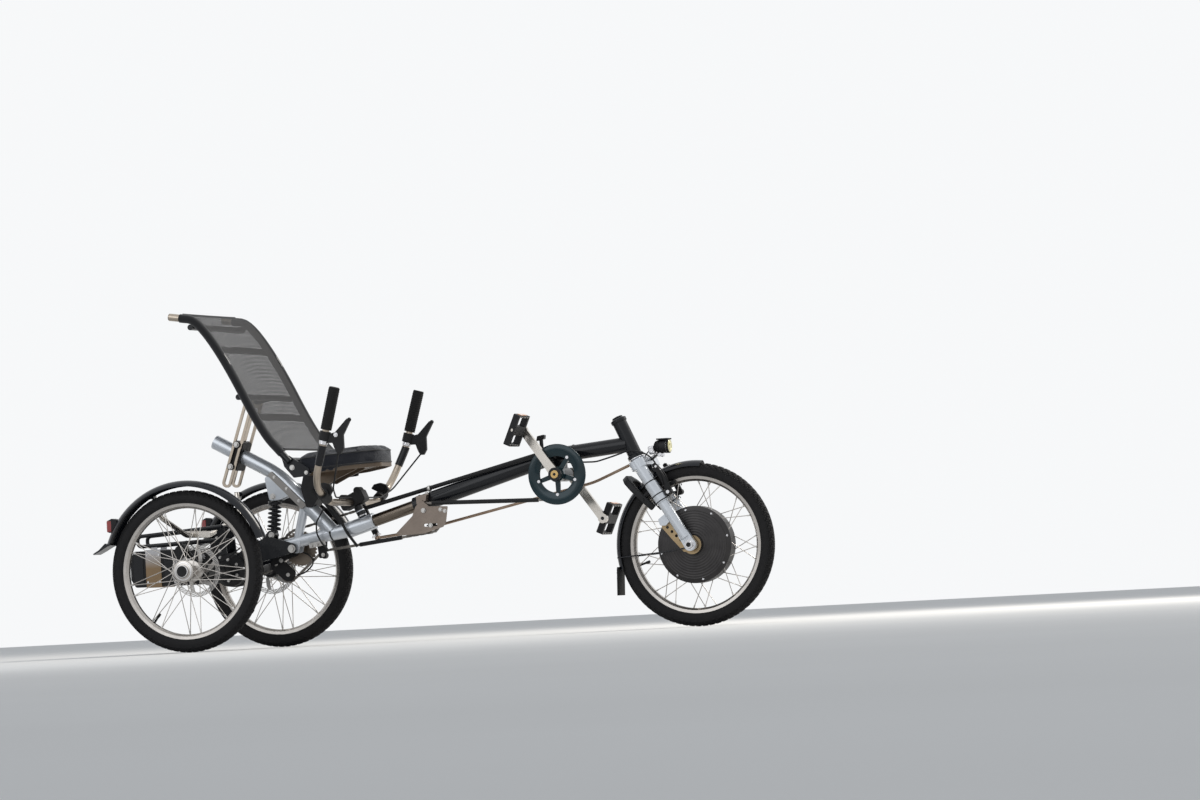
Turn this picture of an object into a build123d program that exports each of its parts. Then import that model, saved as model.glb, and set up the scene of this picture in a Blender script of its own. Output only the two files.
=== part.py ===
from build123d import *
from math import asin, atan2, cos, hypot, pi, radians, sin, tan
import os

# Recumbent trike, delta layout: one steered front wheel with a hub motor, two rear wheels.
# Lengths are in mm and angles in degrees. The pieces are laid out with X forward from the rear
# axle, Y to the rider's left and Z up from the floor, and moved at the end so that the origin
# is on the floor below the middle of the trike.

# Driving dimensions
wheelbase = 1531
rear_track = 745
wheel_radius = 250
tyre_width = 47
rim_radius = 209.5
head_lean = 24
steering_foot = (1348, 532)
column_foot = (417, 447)
crank_centre = (1108, 488)
crank_length = 172
crank_angle = 125
chain_pitch = 12.7
chain_line = 45
cassette_line = 40.2
cassette_centre = (210, 306)
boom_slope = 15.6
sleeve_front = (480, 379)

axle_height = wheel_radius
wheel_y = rear_track / 2
front_reach = wheelbase + wheel_radius
rear_reach = 333
middle_x = (front_reach - rear_reach) / 2

SIDES = (("right", -1), ("left", 1))


def tube(points, radius, bends=None, wall=None):
    """A round tube along straight runs joined by tangent arcs."""
    points = [Vector(*p) for p in points]
    if len(points) == 2:
        path = Line(*points)
    elif isinstance(bends, (list, tuple)):
        path = FilletPolyline(*points, radius=list(bends))
    else:
        path = FilletPolyline(*points, radius=bends)
    start = Plane(origin=path @ 0, z_dir=path % 0)
    section = Circle(radius) if wall is None else Circle(radius) - Circle(radius - wall)
    return sweep(start * section, path=path)


def rod(start, end, radius, bore=None):
    """A straight round bar from one point to another, bored through if bore is given."""
    start, end = Vector(*start), Vector(*end)
    frame = Plane(origin=start, z_dir=end - start)
    length = (end - start).length
    bar = extrude(frame * Circle(radius), length)
    if bore is not None:
        bar -= extrude(frame * Circle(bore), length)
    return bar


def cross_rod(x, z, y_from, y_to, radius, bore=None):
    """A round bar along Y."""
    return rod((x, y_from, z), (x, y_to, z), radius, bore)


def side_plate(points, y, thickness):
    """A plate in the XZ plane, centred on y, from its outline."""
    outline = Plane.XZ.offset(-(y + thickness / 2)) * make_face(Polyline(*points, close=True))
    return extrude(outline, thickness)


def rounded_plate(points, y, thickness, radius):
    """A plate in the XZ plane with rounded corners."""
    face = make_face(FilletPolyline(*points, radius=radius, close=True))
    return extrude(Plane.XZ.offset(-(y + thickness / 2)) * face, thickness)


def block(centre, size):
    return Pos(*centre) * Box(*size)


def turned(profile):
    """A body of revolution about Y from its (radius, y) outline."""
    return revolve(make_face(Polyline(*profile, close=True)), Axis.Y)


def joined(first, *others):
    whole = first.fuse(*others)
    return whole.clean() if hasattr(whole, "clean") else whole


def lean_frame(foot):
    """A frame on a leaning steering axis: local X is forward, local Z up along the axis."""
    lean = radians(head_lean)
    return Plane(origin=(foot[0], 0, foot[1]), x_dir=(cos(lean), 0, sin(lean)),
                 z_dir=(-sin(lean), 0, cos(lean)))


def on_axis(foot, forward, y, up):
    """A point given in the leaning frame."""
    return lean_frame(foot).from_local_coords(Vector(forward, y, up))


def boom_height(x):
    return sleeve_front[1] + tan(radians(boom_slope)) * (x - sleeve_front[0])


# Wheels
spokes_per_side = 18
spoke_radius = 1.3
rim_inner_radius = 194


def tyre(centre):
    section = Pos(wheel_radius - tyre_width / 2, 0) * Circle(tyre_width / 2)
    inside = Pos(rim_radius - 20, 0) * Rectangle(40, tyre_width + 2)
    return Pos(*centre) * revolve(section - inside, Axis.Y)


def rim():
    half = 14
    return turned([(rim_inner_radius, -6), (rim_inner_radius, 6), (rim_radius - 9, half - 1),
                   (rim_radius, half), (rim_radius, half - 3), (rim_radius - 5, half - 4),
                   (rim_radius - 5, 4 - half), (rim_radius, 3 - half), (rim_radius, -half),
                   (rim_radius - 9, 1 - half)])


def spokes(hub_radius, hub_half_width, crossing):
    """Wire spokes from both hub flanges to the rim, alternately leading and trailing."""
    wires = []
    for side in (-1, 1):
        for i in range(spokes_per_side):
            hub_angle = radians(360 / spokes_per_side * i + (10 if side > 0 else 0))
            swing = radians(crossing if i % 2 else -crossing)
            rim_angle = hub_angle + swing
            hub_end = (hub_radius * cos(hub_angle), side * hub_half_width, hub_radius * sin(hub_angle))
            rim_end = ((rim_inner_radius + 2) * cos(rim_angle), side * 3,
                       (rim_inner_radius + 2) * sin(rim_angle))
            wires.append(rod(hub_end, rim_end, spoke_radius))
    return wires


rear_flange_radius = 31
rear_flange_half = 30
half_shaft_radius = 10
hub_bore = 10


def rear_wheel(y):
    hub = turned([(hub_bore, -38), (20, -38), (33, -35), (33, -27), (22, -24), (22, 24), (33, 27),
                  (33, 35), (20, 38), (hub_bore, 38)])
    wheel = joined(hub, rim(), *spokes(rear_flange_radius, rear_flange_half, 50))
    return Pos(0, y, axle_height) * wheel


disc_offset = 65
disc_radius, disc_inner_radius, disc_arms = 80, 66, 6
half_shaft_length = 84


def brake_disc(y, side):
    """Disc on curved arms, with its carrier, the hub cap and the half shaft that turns with them."""
    inner = -side * disc_offset
    pieces = [cross_rod(0, 0, inner - 1, inner + 1, disc_radius, disc_inner_radius)]
    for i in range(disc_arms):
        arm = side_plate([(18, -7), (40, -4), (58, 8), (70, 26), (62, 30), (46, 16), (34, 6), (18, 4)],
                         inner, 2)
        pieces.append(Rot(0, 360 / disc_arms * i, 0) * arm)
    pieces.append(cross_rod(0, 0, -side * 38, -side * (disc_offset + 5), 24))
    pieces.append(cross_rod(0, 0, side * 38, side * 46, 17.6))
    shaft = cross_rod(0, 0, side * 46, -side * (disc_offset + half_shaft_length), half_shaft_radius)
    return Pos(0, y, axle_height) * joined(shaft, *pieces)


motor_radius = 118
motor_half_width = 33
front_axle_radius = 7
running_gap = 0.05


def hub_motor():
    """Motor drum with a raised rim, flat side covers and a stepped boss round the axle."""
    outline = [(front_axle_radius + running_gap, -38), (18, -38), (24, -motor_half_width),
               (104, 7 - motor_half_width), (motor_radius, -22)]
    return Pos(wheelbase, 0, axle_height) * turned(outline + [(r, -y) for r, y in reversed(outline)])


def front_rim():
    wheel = joined(rim(), *spokes(motor_radius - 1, 18, 16))
    wheel -= cross_rod(0, 0, -30, 30, motor_radius)
    return Pos(wheelbase, 0, axle_height) * wheel


# Rear axle, swing arm and suspension
axle_tube_radius = 19
axle_tube_end = wheel_y - disc_offset - 8
housing_radius = 52
arm_places = (("near", -30), ("far", 88))
shaft_radius = 8
short_chain_y = 75
short_sprocket_radius = 30
shock_top = (150, 472)
shock_foot = (138, 352)
shock_radius = 18


def axle_housing():
    """Differential housing with an axle tube to each wheel, bored for the half shafts."""
    middle = turned([(0, -housing_radius), (40, -housing_radius), (housing_radius, -40),
                     (housing_radius, 40), (40, housing_radius), (0, housing_radius)])
    pieces = [cross_rod(0, 0, -axle_tube_end, axle_tube_end, axle_tube_radius)]
    for name, side in SIDES:
        pieces.append(cross_rod(0, 0, side * (axle_tube_end - 12), side * axle_tube_end, 27))
    housing = joined(middle, *pieces)
    for name, side in SIDES:
        reach = wheel_y - disc_offset - half_shaft_length - 3
        housing -= cross_rod(0, 0, side * reach, side * (axle_tube_end + 1),
                             half_shaft_radius + running_gap)
    return Pos(0, 0, axle_height) * housing


def swing_arm():
    """Two side arms from the cassette shaft to the axle housing, with a bridge under the spring."""
    px, pz = cassette_centre
    pieces = []
    for name, y in arm_places:
        outline = [(-24, 250), (-8, 274), (70, 330), (140, 346), (px + 12, pz + 14), (px + 14, pz - 12),
                   (px - 10, pz - 16), (70, 262), (-8, 226)]
        pieces.append(rounded_plate(outline, y, 8, 7))
    pieces.append(block((122, 29, 337), (30, 118, 8)))
    for name, side in SIDES:
        pieces.append(rounded_plate([(108, 336), (108, 344), (130, 366), (146, 366), (146, 336)],
                                    side * 16, 6, 3))
    arm = joined(*pieces)
    arm -= cross_rod(0, axle_height, -housing_radius, housing_radius, housing_radius)
    arm -= cross_rod(0, axle_height, 0, 100, axle_tube_radius)
    return arm - cross_rod(px, pz, -80, 100, shaft_radius)


def shock():
    """Damper with its coil spring, eye to eye."""
    foot, top = Vector(shock_foot[0], 0, shock_foot[1]), Vector(shock_top[0], 0, shock_top[1])
    length = (top - foot).length
    frame = Plane(origin=foot, z_dir=top - foot).location
    cup_up, cup = 18, 5
    coil_length = length - 2 * cup_up - cup
    turns = 6
    coil = Helix(pitch=coil_length / turns, height=coil_length, radius=shock_radius)
    wire = sweep(Plane(origin=coil @ 0, z_dir=coil % 0) * RegularPolygon(3.5, 8), path=coil)
    pieces = [Pos(0, 0, length / 2) * Cylinder(10, length - 16),
              Pos(0, 0, cup_up) * Cylinder(shock_radius + 4, cup),
              Pos(0, 0, length - cup_up) * Cylinder(shock_radius + 4, cup),
              Pos(0, 0, cup_up + cup / 2) * wire]
    body = frame * joined(*pieces)
    eyes = [cross_rod(p[0], p[1], -13, 13, 10) for p in (shock_foot, shock_top)]
    return joined(body, *eyes)


def tube_boot():
    """Rubber bellows on the rear end of the lower tube."""
    rear, joint = lower_tube_rear, lower_tube_joint
    frame = Plane(origin=(rear[0], 0, rear[1]), z_dir=(rear[0] - joint[0], 0, rear[1] - joint[1]))
    outline = [(0, 0), (18, 0), (20.5, 8), (18, 16), (20.5, 24), (18, 32), (20.5, 40), (14, 52), (0, 52)]
    face = make_face(Polyline(*outline, close=True))
    body = revolve(Plane.XZ * face, Axis.Z)
    return frame.location * body


# Main frame
lower_tube_rear = (158, 317)
lower_tube_joint = (400, 357)
seat_tube_points = ((-44, 0, 654), (168, 0, 538), (337, 0, 354))
seat_tube_radius = 22.5
seat_tube_bend = 320
sleeve_radius = 25
taper_end_radius = 24
inner_tube_radius = 19
boom_radius = 26.5
boom_rear_x = 618
front_tube_radius = 23.5
boom_bend = (1084, 547)
boom_front = (1325, 568)
cable_post_top = (1043, 606)
shaft_bracket_y = 17


def taper():
    rear = Vector(lower_tube_rear[0], 0, lower_tube_rear[1])
    joint = Vector(lower_tube_joint[0], 0, lower_tube_joint[1])
    length = (joint - rear).length
    outline = make_face(Polyline((0, 0), (15, 0), (taper_end_radius, length), (0, length), close=True))
    return Plane(origin=rear, z_dir=joint - rear).location * revolve(Plane.XZ * outline, Axis.Z)


def along_boom(x, offset=0):
    """A point on the telescope's centre line, with an offset square to it in the XZ plane."""
    slope = radians(boom_slope)
    return (x - offset * sin(slope), 0, boom_height(x) + offset * cos(slope))


def seat_tube_solid():
    return tube(seat_tube_points, seat_tube_radius, seat_tube_bend)


def lower_tube():
    """Tapering lower tube, telescope sleeve, brackets for the cassette shaft and strut to the seat tube."""
    px, pz = cassette_centre
    body = joined(taper(), rod(along_boom(397), along_boom(sleeve_front[0]), sleeve_radius))
    body -= rod(along_boom(425), along_boom(sleeve_front[0] + 5), inner_tube_radius)
    pieces = [rod((254, 0, 462), (216, 0, 322), 14) - seat_tube_solid()]
    for name, side in SIDES:
        outline = [(px - 30, 321), (px + 26, 330), (px + 16, pz - 14), (px - 16, pz - 14)]
        pieces.append(rounded_plate(outline, side * shaft_bracket_y, 8, 6))
    body = joined(body, *pieces)
    return body - cross_rod(px, pz, -40, 40, shaft_radius)


def seat_tube():
    lugs = [rounded_plate([(122, 545), (218, 478), (168, 460), (138, 460)], side * 17, 7, 8)
            for name, side in SIDES]
    body = joined(seat_tube_solid() - taper(), *lugs)
    return body - cross_rod(shock_top[0], shock_top[1], -14, 14, 10)


def side_rails():
    """Flat grey rails along both sides of the seat tube."""
    outline = [(139, 539), (153, 551), (266, 440), (249, 427)]
    rails = [rounded_plate(outline, side * 27, 9, 3) for name, side in SIDES]
    return Compound(rails)


def inner_tube():
    return rod(along_boom(425), along_boom(boom_rear_x + 40), inner_tube_radius)


def boom_tube():
    return rod(along_boom(boom_rear_x), along_boom(boom_bend[0]), boom_radius)


def bent_boom():
    bend = Pos(boom_bend[0], 0, boom_bend[1]) * Sphere(boom_radius)
    front = rod((boom_bend[0], 0, boom_bend[1]), (boom_front[0], 0, boom_front[1]), front_tube_radius)
    return joined(boom_tube(), bend, front)


def cable_post():
    """Short post with a cable stop on top of the boom, behind the crank."""
    x, z = cable_post_top
    head = rounded_plate([(x - 14, z - 12), (x - 10, z + 4), (x + 14, z + 8), (x + 12, z - 6)], 0, 16, 3)
    return joined(rod((x + 2, 0, boom_height(x)), (x, 0, z - 2), 6), head)


def front_boom():
    body = joined(bent_boom(), cable_post())
    body -= rod(along_boom(boom_rear_x - 5), along_boom(boom_rear_x + 40), inner_tube_radius)
    return body - head_tube_envelope()


def head_tube_envelope():
    frame = lean_frame(steering_foot).location
    return frame * (Pos(0, 0, 56) * Cylinder(22, 128))


steerer_radius = 14


def head_tube():
    outline = [(steerer_radius + running_gap, -8), (26, -8), (26, 2), (22, 6), (22, 112), (25, 116),
               (25, 124), (17, 128), (steerer_radius + running_gap, 128)]
    face = make_face(Polyline(*outline, close=True))
    return lean_frame(steering_foot).location * revolve(Plane.XZ * face, Axis.Z)


shell_half_width = 34
spindle_radius = 10


def crank_shell():
    cx, cz = crank_centre
    shell = cross_rod(cx, cz, -shell_half_width, shell_half_width, 22)
    neck = block((cx - 6, 0, cz + 34), (34, 34, 50))
    body = joined(shell, neck) - bent_boom()
    return body - cross_rod(cx, cz, -40, 40, spindle_radius + running_gap)


def steering_bearing():
    """Short bearing tube for the steering column, welded on top of the sleeve."""
    frame = lean_frame(column_foot).location
    tube_body = frame * (Pos(0, 0, -45) * Cylinder(14, 46))
    tube_body -= rod(along_boom(380), along_boom(sleeve_front[0] + 20), sleeve_radius)
    return tube_body - frame * (Pos(0, 0, -35) * Cylinder(9 + running_gap, 40))


# Seat
seat_front, seat_rear = 540, 306
cushion_half, cushion_nose, cushion_corner = 190, 50, 30
pan_inset, pan_thickness, pan_rim = 12, 4, 12
rail_y = 212
rail_points = ((-88, 1044), (2, 1030), (92, 900), (205, 668), (290, 572))
rail_bends = (90, 220, 260)
rail_radius = 11
bar_top, bar_foot = (95, 775), (5, 523)
bar_y, bar_width, bar_slot, bar_thickness = 38, 30, 14, 8


def seat_line(x):
    return 548 + 0.088 * (x - 407)


def seat_base():
    """Black casting that carries the seat on the seat tube, with a stay down to the lower tube."""
    outline = [(250, 492), (262, 538), (332, 538), (336, 516), (316, 470), (288, 434), (266, 430)]
    body = joined(rounded_plate(outline, 0, 64, 8), rod((296, 0, 478), (372, 0, 372), 9))
    return body - seat_tube_solid() - side_rails() - taper()


def seat_plan(inset):
    """Upright prism over the plan of the seat: square at the rear, narrowing to a round nose."""
    half = cushion_half
    outline = [(seat_rear, -half), (400, -half), (490, -120), (seat_front, -cushion_nose),
               (seat_front, cushion_nose), (490, 120), (400, half), (seat_rear, half)]
    face = make_face(FilletPolyline(*outline, radius=cushion_corner, close=True))
    if inset:
        face = offset(face, -inset, kind=Kind.INTERSECTION)
    return extrude(Pos(0, 0, 500) * face, 160)


def seat_band(low, high):
    """A layer that follows the slope of the seat, between two heights above its line."""
    rear, front = seat_rear - 20, seat_front + 20
    return side_plate([(rear, seat_line(rear) + low), (front, seat_line(front) + low),
                       (front, seat_line(front) + high), (rear, seat_line(rear) + high)], 0, 440)


def seat_pan():
    """Pressed tray with a turned-down rim, and a gusset on each side of the seat base."""
    plan = seat_plan(pan_inset)
    sheet = seat_band(-pan_thickness, 0) & plan
    rim_band = seat_band(-pan_rim, 0) & (plan - seat_plan(pan_inset + pan_thickness))
    gussets = []
    for name, side in SIDES:
        outline = [(320, 541), (320, 505), (345, 500), (384, 518), (440, 541), (440, 550)]
        gussets.append(rounded_plate(outline, side * 34.5, 5, 2))
    return joined(sheet, rim_band, *gussets) - seat_base()


def seat_cushion():
    body = seat_band(0.5, 52) & seat_plan(0)
    return fillet(body.edges(), 12)


def backrest_frame():
    """Two bent side rails joined by cross tubes, hinge brackets below and lugs for the slotted bars."""
    pieces = []
    for name, side in SIDES:
        y = side * rail_y
        pieces.append(tube([(x, y, z) for x, z in rail_points], rail_radius, rail_bends))
        outline = [(262, 588), (286, 592), (352, 548), (352, 526), (300, 522), (270, 558)]
        bracket = rounded_plate(outline, side * 204, 6, 5) - cross_rod(296, 554, -220, 220, 7)
        pieces.append(bracket)
        pieces.append(cross_rod(344, 536, side * (cushion_half - pan_inset), side * 204, 5))
        pieces.append(rounded_plate([(84, 764), (84, 786), (128, 792), (134, 772)], side * 30, 5, 4))
    for x, z in ((-20, 1008), (130, 782), (282, 577)):
        pieces.append(cross_rod(x, z, -rail_y, rail_y, 9))
    pieces.append(cross_rod(bar_top[0], bar_top[1], -46, 46, 4))
    return joined(*pieces)


sling_points = ((-44, 1037), (2, 1030), (92, 900), (205, 668), (262, 604))


def backrest_sling():
    """Closed solid of the mesh back: a curved panel between the side rails."""
    path = FilletPolyline(*[(x, 0, z) for x, z in sling_points], radius=list(rail_bends))
    start = Plane(origin=path @ 0, x_dir=(0, 1, 0), z_dir=path % 0)
    return sweep(start * Rectangle(2 * (rail_y - rail_radius - 1), 5), path=path)


def bar_frame(y):
    """A frame in the XZ plane at the middle of a slotted bar, with local X along the bar."""
    middle = ((bar_top[0] + bar_foot[0]) / 2, y, (bar_top[1] + bar_foot[1]) / 2)
    return Plane(origin=middle, x_dir=(bar_top[0] - bar_foot[0], 0, bar_top[1] - bar_foot[1]),
                 z_dir=(0, -1, 0))


def slotted_bars():
    """Two hairpin bars with a long slot, which set the angle of the backrest."""
    length = hypot(bar_top[0] - bar_foot[0], bar_top[1] - bar_foot[1]) + bar_width
    head = 38
    wall = (bar_width - bar_slot) / 2
    bars = []
    for name, side in SIDES:
        slot = Pos((wall - head) / 2, 0) * SlotOverall(length - head - wall, bar_slot)
        face = SlotOverall(length, bar_width) - slot
        bar = extrude(bar_frame(side * bar_y) * face, bar_thickness / 2, both=True)
        bars.append(bar - cross_rod(bar_top[0], bar_top[1], -60, 60, 4))
    return Compound(bars)


def bar_clamp():
    """Black block and two cross bolts that hold the slotted bars to the seat tube."""
    inner = bar_y - bar_thickness / 2
    outer = bar_y + bar_thickness / 2
    at_tube = -45
    outline = Pos(at_tube, 0) * RectangleRounded(92, 34, 6)
    body = extrude(bar_frame(0) * outline, inner, both=True) - seat_tube_solid()
    bolts = []
    for place_on_bar in (at_tube - 36, at_tube + 36):
        place = bar_frame(0).from_local_coords(Vector(place_on_bar, 0, 0))
        bolts.append(cross_rod(place.X, place.Z, -outer - 6, outer + 6, 3))
        for name, side in SIDES:
            bolts.append(cross_rod(place.X, place.Z, side * outer, side * (outer + 6), 11))
    return joined(body, *bolts)


# Fork, front mudguard, lamp and brake
leg_y = 60
leg_top = (12, -24)
collar_up, sleeve_up = -108, -176
upper_leg_radius, lower_leg_radius, collar_radius = 19, 16.5, 20.5
dropout_radius, dropout_half = 19, 8
crown_top, crown_depth, crown_length = -24, 26, 52
arm_forward, arm_y = -6, 56
pin_radius = 4
nut_radius = 11


def front_axle_local():
    return lean_frame(steering_foot).to_local_coords(Vector(wheelbase, 0, axle_height))


def leg_point(side, up):
    """A point on the raked centre line of a fork leg, at a height in the leaning frame."""
    axle = front_axle_local()
    part = (up - leg_top[1]) / (axle.Z - leg_top[1])
    return (leg_top[0] + (axle.X - leg_top[0]) * part, side * leg_y, up)


def crown_and_legs():
    """Crown with both raked legs: upper tube, collar, thinner lower tube and flattened dropout."""
    axle = front_axle_local()
    crown = Pos(14, 0, crown_top - crown_depth / 2) * Box(crown_length, 2 * leg_y + 36, crown_depth)
    pieces = []
    for name, side in SIDES:
        pieces.append(rod(leg_point(side, leg_top[1]), leg_point(side, sleeve_up), upper_leg_radius))
        pieces.append(rod(leg_point(side, collar_up), leg_point(side, sleeve_up), collar_radius))
        pieces.append(rod(leg_point(side, sleeve_up), leg_point(side, axle.Z + 26), lower_leg_radius))
        top = leg_point(side, axle.Z + 44)
        neck = [(top[0] - 16, axle.Z + 42), (axle.X - 19, axle.Z + 3), (axle.X + 19, axle.Z - 3),
                (top[0] + 17, axle.Z + 46)]
        pieces.append(side_plate(neck, side * leg_y, 2 * dropout_half))
        ends = [side * (leg_y - dropout_half), side * (leg_y + dropout_half)]
        pieces.append(rod((axle.X, ends[0], axle.Z), (axle.X, ends[1], axle.Z), dropout_radius))
    return joined(fillet(crown.edges().filter_by(Axis.Z), 17), *pieces)


def fork_envelope():
    return lean_frame(steering_foot).location * crown_and_legs()


def fork():
    """Crown and legs with the steerer, the steering arm with its pin, the axle and its nuts."""
    axle = front_axle_local()
    axle_end = leg_y + dropout_half + 14
    pieces = [Pos(0, 0, 51) * Cylinder(steerer_radius, 154),
              Pos(0, 0, (crown_top - 8.5) / 2) * Cylinder(20, -8.5 - crown_top),
              Pos(-6, 40, crown_top + 3.5) * Box(24, 56, 7),
              Pos(arm_forward, arm_y, -9) * Cylinder(pin_radius, 18),
              rod((axle.X, -axle_end, axle.Z), (axle.X, axle_end, axle.Z), front_axle_radius)]
    for name, side in SIDES:
        face = side * (leg_y + dropout_half)
        pieces.append(rod((axle.X, face, axle.Z), (axle.X, face + side * 9, axle.Z), nut_radius))
    ear = [(26, -210), (-6, -216), (-9, -236), (8, -244), (28, -236)]
    pieces.append(rounded_plate(ear, -55, 10, 5))
    return lean_frame(steering_foot).location * joined(crown_and_legs(), *pieces)


torque_plate_y, torque_disc_radius = -48, 29


def torque_arm():
    """Perforated plate inside the near leg that stops the motor axle turning, with its thick washer."""
    axle = front_axle_local()
    outline = [(-5, -222), (12, -220), (34, -262), (60, -312), (axle.X + 18, axle.Z - 6),
               (axle.X - 2, axle.Z - 22), (20, -340), (4, -290), (-9, -244)]
    plate = rounded_plate(outline, torque_plate_y, 4, 5)
    for x, z in ((7, -250), (14, -268), (21, -286), (28, -304)):
        plate -= rod((x, -60, z), (x, -40, z), 4.6)
    bolt = rod((2, torque_plate_y, -230), (2, torque_plate_y + 7, -230), 6)
    washer = rod((axle.X, torque_plate_y + 2, axle.Z), (axle.X, torque_plate_y + 8, axle.Z),
                 torque_disc_radius)
    body = joined(plate, bolt, washer) - crown_and_legs()
    body -= rod((axle.X, -94, axle.Z), (axle.X, 76, axle.Z), front_axle_radius)
    return lean_frame(steering_foot).location * body


guard_drop = 16


def guard_arc(radius, half_width, thickness, start, end):
    """A crowned mudguard round the Y axis, from one angle to another above the X axis."""
    top = ThreePointArc((radius - guard_drop, -half_width), (radius, 0), (radius - guard_drop, half_width))
    under = ThreePointArc((radius - guard_drop - thickness, -half_width), (radius - thickness, 0),
                          (radius - guard_drop - thickness, half_width))
    ends = [Line(top @ 0, under @ 0), Line(top @ 1, under @ 1)]
    face = make_face(Curve() + [top, under, *ends])
    return Rot(0, -end, 0) * revolve(face, Axis.Y, end - start)


front_guard_radius = 258
front_guard_half = 28


def front_mudguard():
    """Front mudguard with its flap, its tab on the crown and the wire stays to the dropouts."""
    guard = guard_arc(front_guard_radius, front_guard_half, 2.5, 83, 195)
    flap = side_plate([(-249, -56), (-253, -56), (-253, -100), (-255, -140), (-251, -141), (-249, -100)],
                      0, 2 * front_guard_half - 4)
    pieces = [guard, flap, rod((-122, 0, 228), (-150, 0, 252), 8)]
    for name, side in SIDES:
        pieces.append(rod((-250, side * 25, -28), (-57, side * leg_y, -16), 2))
        pieces.append(rod((-60, side * leg_y, -16), (-12, side * leg_y, -8), 2))
    return Pos(wheelbase, 0, axle_height) * joined(*pieces) - fork_envelope()


lamp_x, lamp_z = 1438, 556


def headlight():
    """Lamp housing with its visor on a bent strip from the crown."""
    outline = [(-26, 0), (-26, 12), (-14, 19), (14, 22), (14, 0)]
    face = make_face(Polyline(*outline, close=True))
    housing = Pos(lamp_x, 0, lamp_z) * revolve(Plane.XZ * face, Axis.X)
    visor = block((lamp_x + 4, 0, lamp_z + 22), (36, 40, 4))
    strip = side_plate([(1388, 516), (1394, 510), (1420, 530), (lamp_x - 2, 536), (lamp_x - 2, 541),
                        (1416, 536)], 0, 16)
    stem = block((lamp_x - 6, 0, lamp_z - 18), (10, 12, 10))
    return joined(housing, visor, strip, stem) - fork_envelope()


def headlight_lens():
    return Pos(lamp_x + 17, 0, lamp_z) * Rot(0, 90, 0) * Cylinder(20, 6)


brake_forward, brake_up = 62, -132


def front_brake():
    """Rim brake arms in front of both legs, each with its boss on the leg and its pad beside the rim."""
    units = []
    for name, side in SIDES:
        arm = rounded_plate([(50, -58), (62, -54), (71, -108), (71, -164), (54, -166), (54, -108)],
                            side * 50, 8, 5)
        pieces = [rod((brake_forward, side * 46, -156), (brake_forward, side * 64, -156), 9),
                  Pos(50, side * 56, -156) * Box(24, 12, 14),
                  Pos(brake_forward, side * 20, brake_up) * Box(44, 9, 11),
                  rod((brake_forward, side * 22, brake_up), (brake_forward, side * 50, brake_up), 6)]
        units.append(joined(arm, *pieces))
    frame = lean_frame(steering_foot).location
    return Compound([frame * unit - fork_envelope() for unit in units])


# Handlebar and drag link
bar_radius = 11
grip_radius = 17
bar_points = ((410, 0, 440), (410, 190, 440), (412, 318, 492), (458, 350, 606), (508, 356, 779))
bar_bends = (200, 110, 120, 120, 110, 200)


def handlebar():
    """U-shaped bar below the seat, rising to a handle on each side."""
    right = [(x, -y, z) for x, y, z in reversed(bar_points[1:])]
    return tube(right + list(bar_points[1:]), bar_radius, bar_bends)


def stem_clamp():
    """Clamp block on the steering column, the lever down to the drag link and the clamps at both bends."""
    block_body = Pos(-3, 0, 1) * Box(84, 40, 40)
    block_body = fillet(block_body.edges().filter_by(Axis.Y), 10)
    caps = [Pos(x, 0, 21) * Rot(90, 0, 0) * Cylinder(11, 34) for x in (-30, 24)]
    column = Pos(0, 0, -36) * Cylinder(9, 36)
    pieces = [column, Pos(-5, 33, -13) * Box(18, 56, 10), Pos(-5, arm_y, -64) * Box(18, 10, 112),
              Pos(arm_forward, arm_y, -129) * Cylinder(pin_radius, 18)]
    clamps = [lean_frame(column_foot).location * joined(block_body, *caps, *pieces)]
    for name, side in SIDES:
        ring = rod((410.4, side * 216, 450.6), (411, side * 256, 466.8), 18)
        hook = rounded_plate([(382, 484), (392, 497), (412, 501), (432, 494), (440, 478), (428, 456),
                              (404, 452), (402, 474)], side * 236, 14, 3)
        clamps.append(joined(ring, hook))
    bar = handlebar()
    return Compound([clamp - bar for clamp in clamps])


def handle_end(side, below_top):
    """A point on the upper straight of a handle, at a distance below its end."""
    top, foot = Vector(*bar_points[-1]), Vector(*bar_points[-2])
    place = top + (foot - top).normalized() * below_top
    return (place.X, side * place.Y, place.Z)


def grips():
    """Rubber grips closed at the top."""
    pieces = []
    for name, side in SIDES:
        grip = rod(handle_end(side, 124), handle_end(side, -6), grip_radius)
        pieces.append(grip - rod(handle_end(side, 130), handle_end(side, 0), bar_radius))
    return Compound(pieces)


def brake_levers():
    """A clamp ring on each handle below the grip, with a short lever in front that ends in a ball."""
    pieces = []
    for name, side in SIDES:
        ring = rod(handle_end(side, 158), handle_end(side, 130), 17)
        y = handle_end(side, 144)[1]
        lever = rounded_plate([(470, 618), (472, 644), (504, 650), (545, 690), (554, 682), (530, 640),
                               (530, 600), (520, 584), (508, 584), (500, 600), (494, 618)], y, 10, 3)
        unit = joined(ring, lever, Pos(551, y, 686) * Sphere(6.5))
        unit -= rod(handle_end(side, 200), handle_end(side, 0), bar_radius + running_gap)
        pieces.append(unit - rod(lever_cable_exit(side), lever_cable_end(side), cable_radius))
    return Compound(pieces)


cable_radius = 2.5


def lever_cable_exit(side):
    """Where the brake cable leaves the lower end of its lever."""
    return (511, side * handle_end(1, 144)[1], 590)


def lever_cable_end(side):
    """Where that cable reaches the clamp at the bend of the handlebar."""
    return (447, side * 252, 480)


def bar_cables():
    """Brake cables, each held at its lever and along the bar behind the clamp hook."""
    pieces = []
    for name, side in SIDES:
        above_bar = bar_radius + cable_radius + 0.5
        route = [lever_cable_exit(side), lever_cable_end(side), (430, side * 190, 440 + above_bar),
                 (430, side * 60, 440 + above_bar)]
        pieces.append(tube(route, cable_radius, (70, 60)))
    return Compound(pieces)


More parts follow.
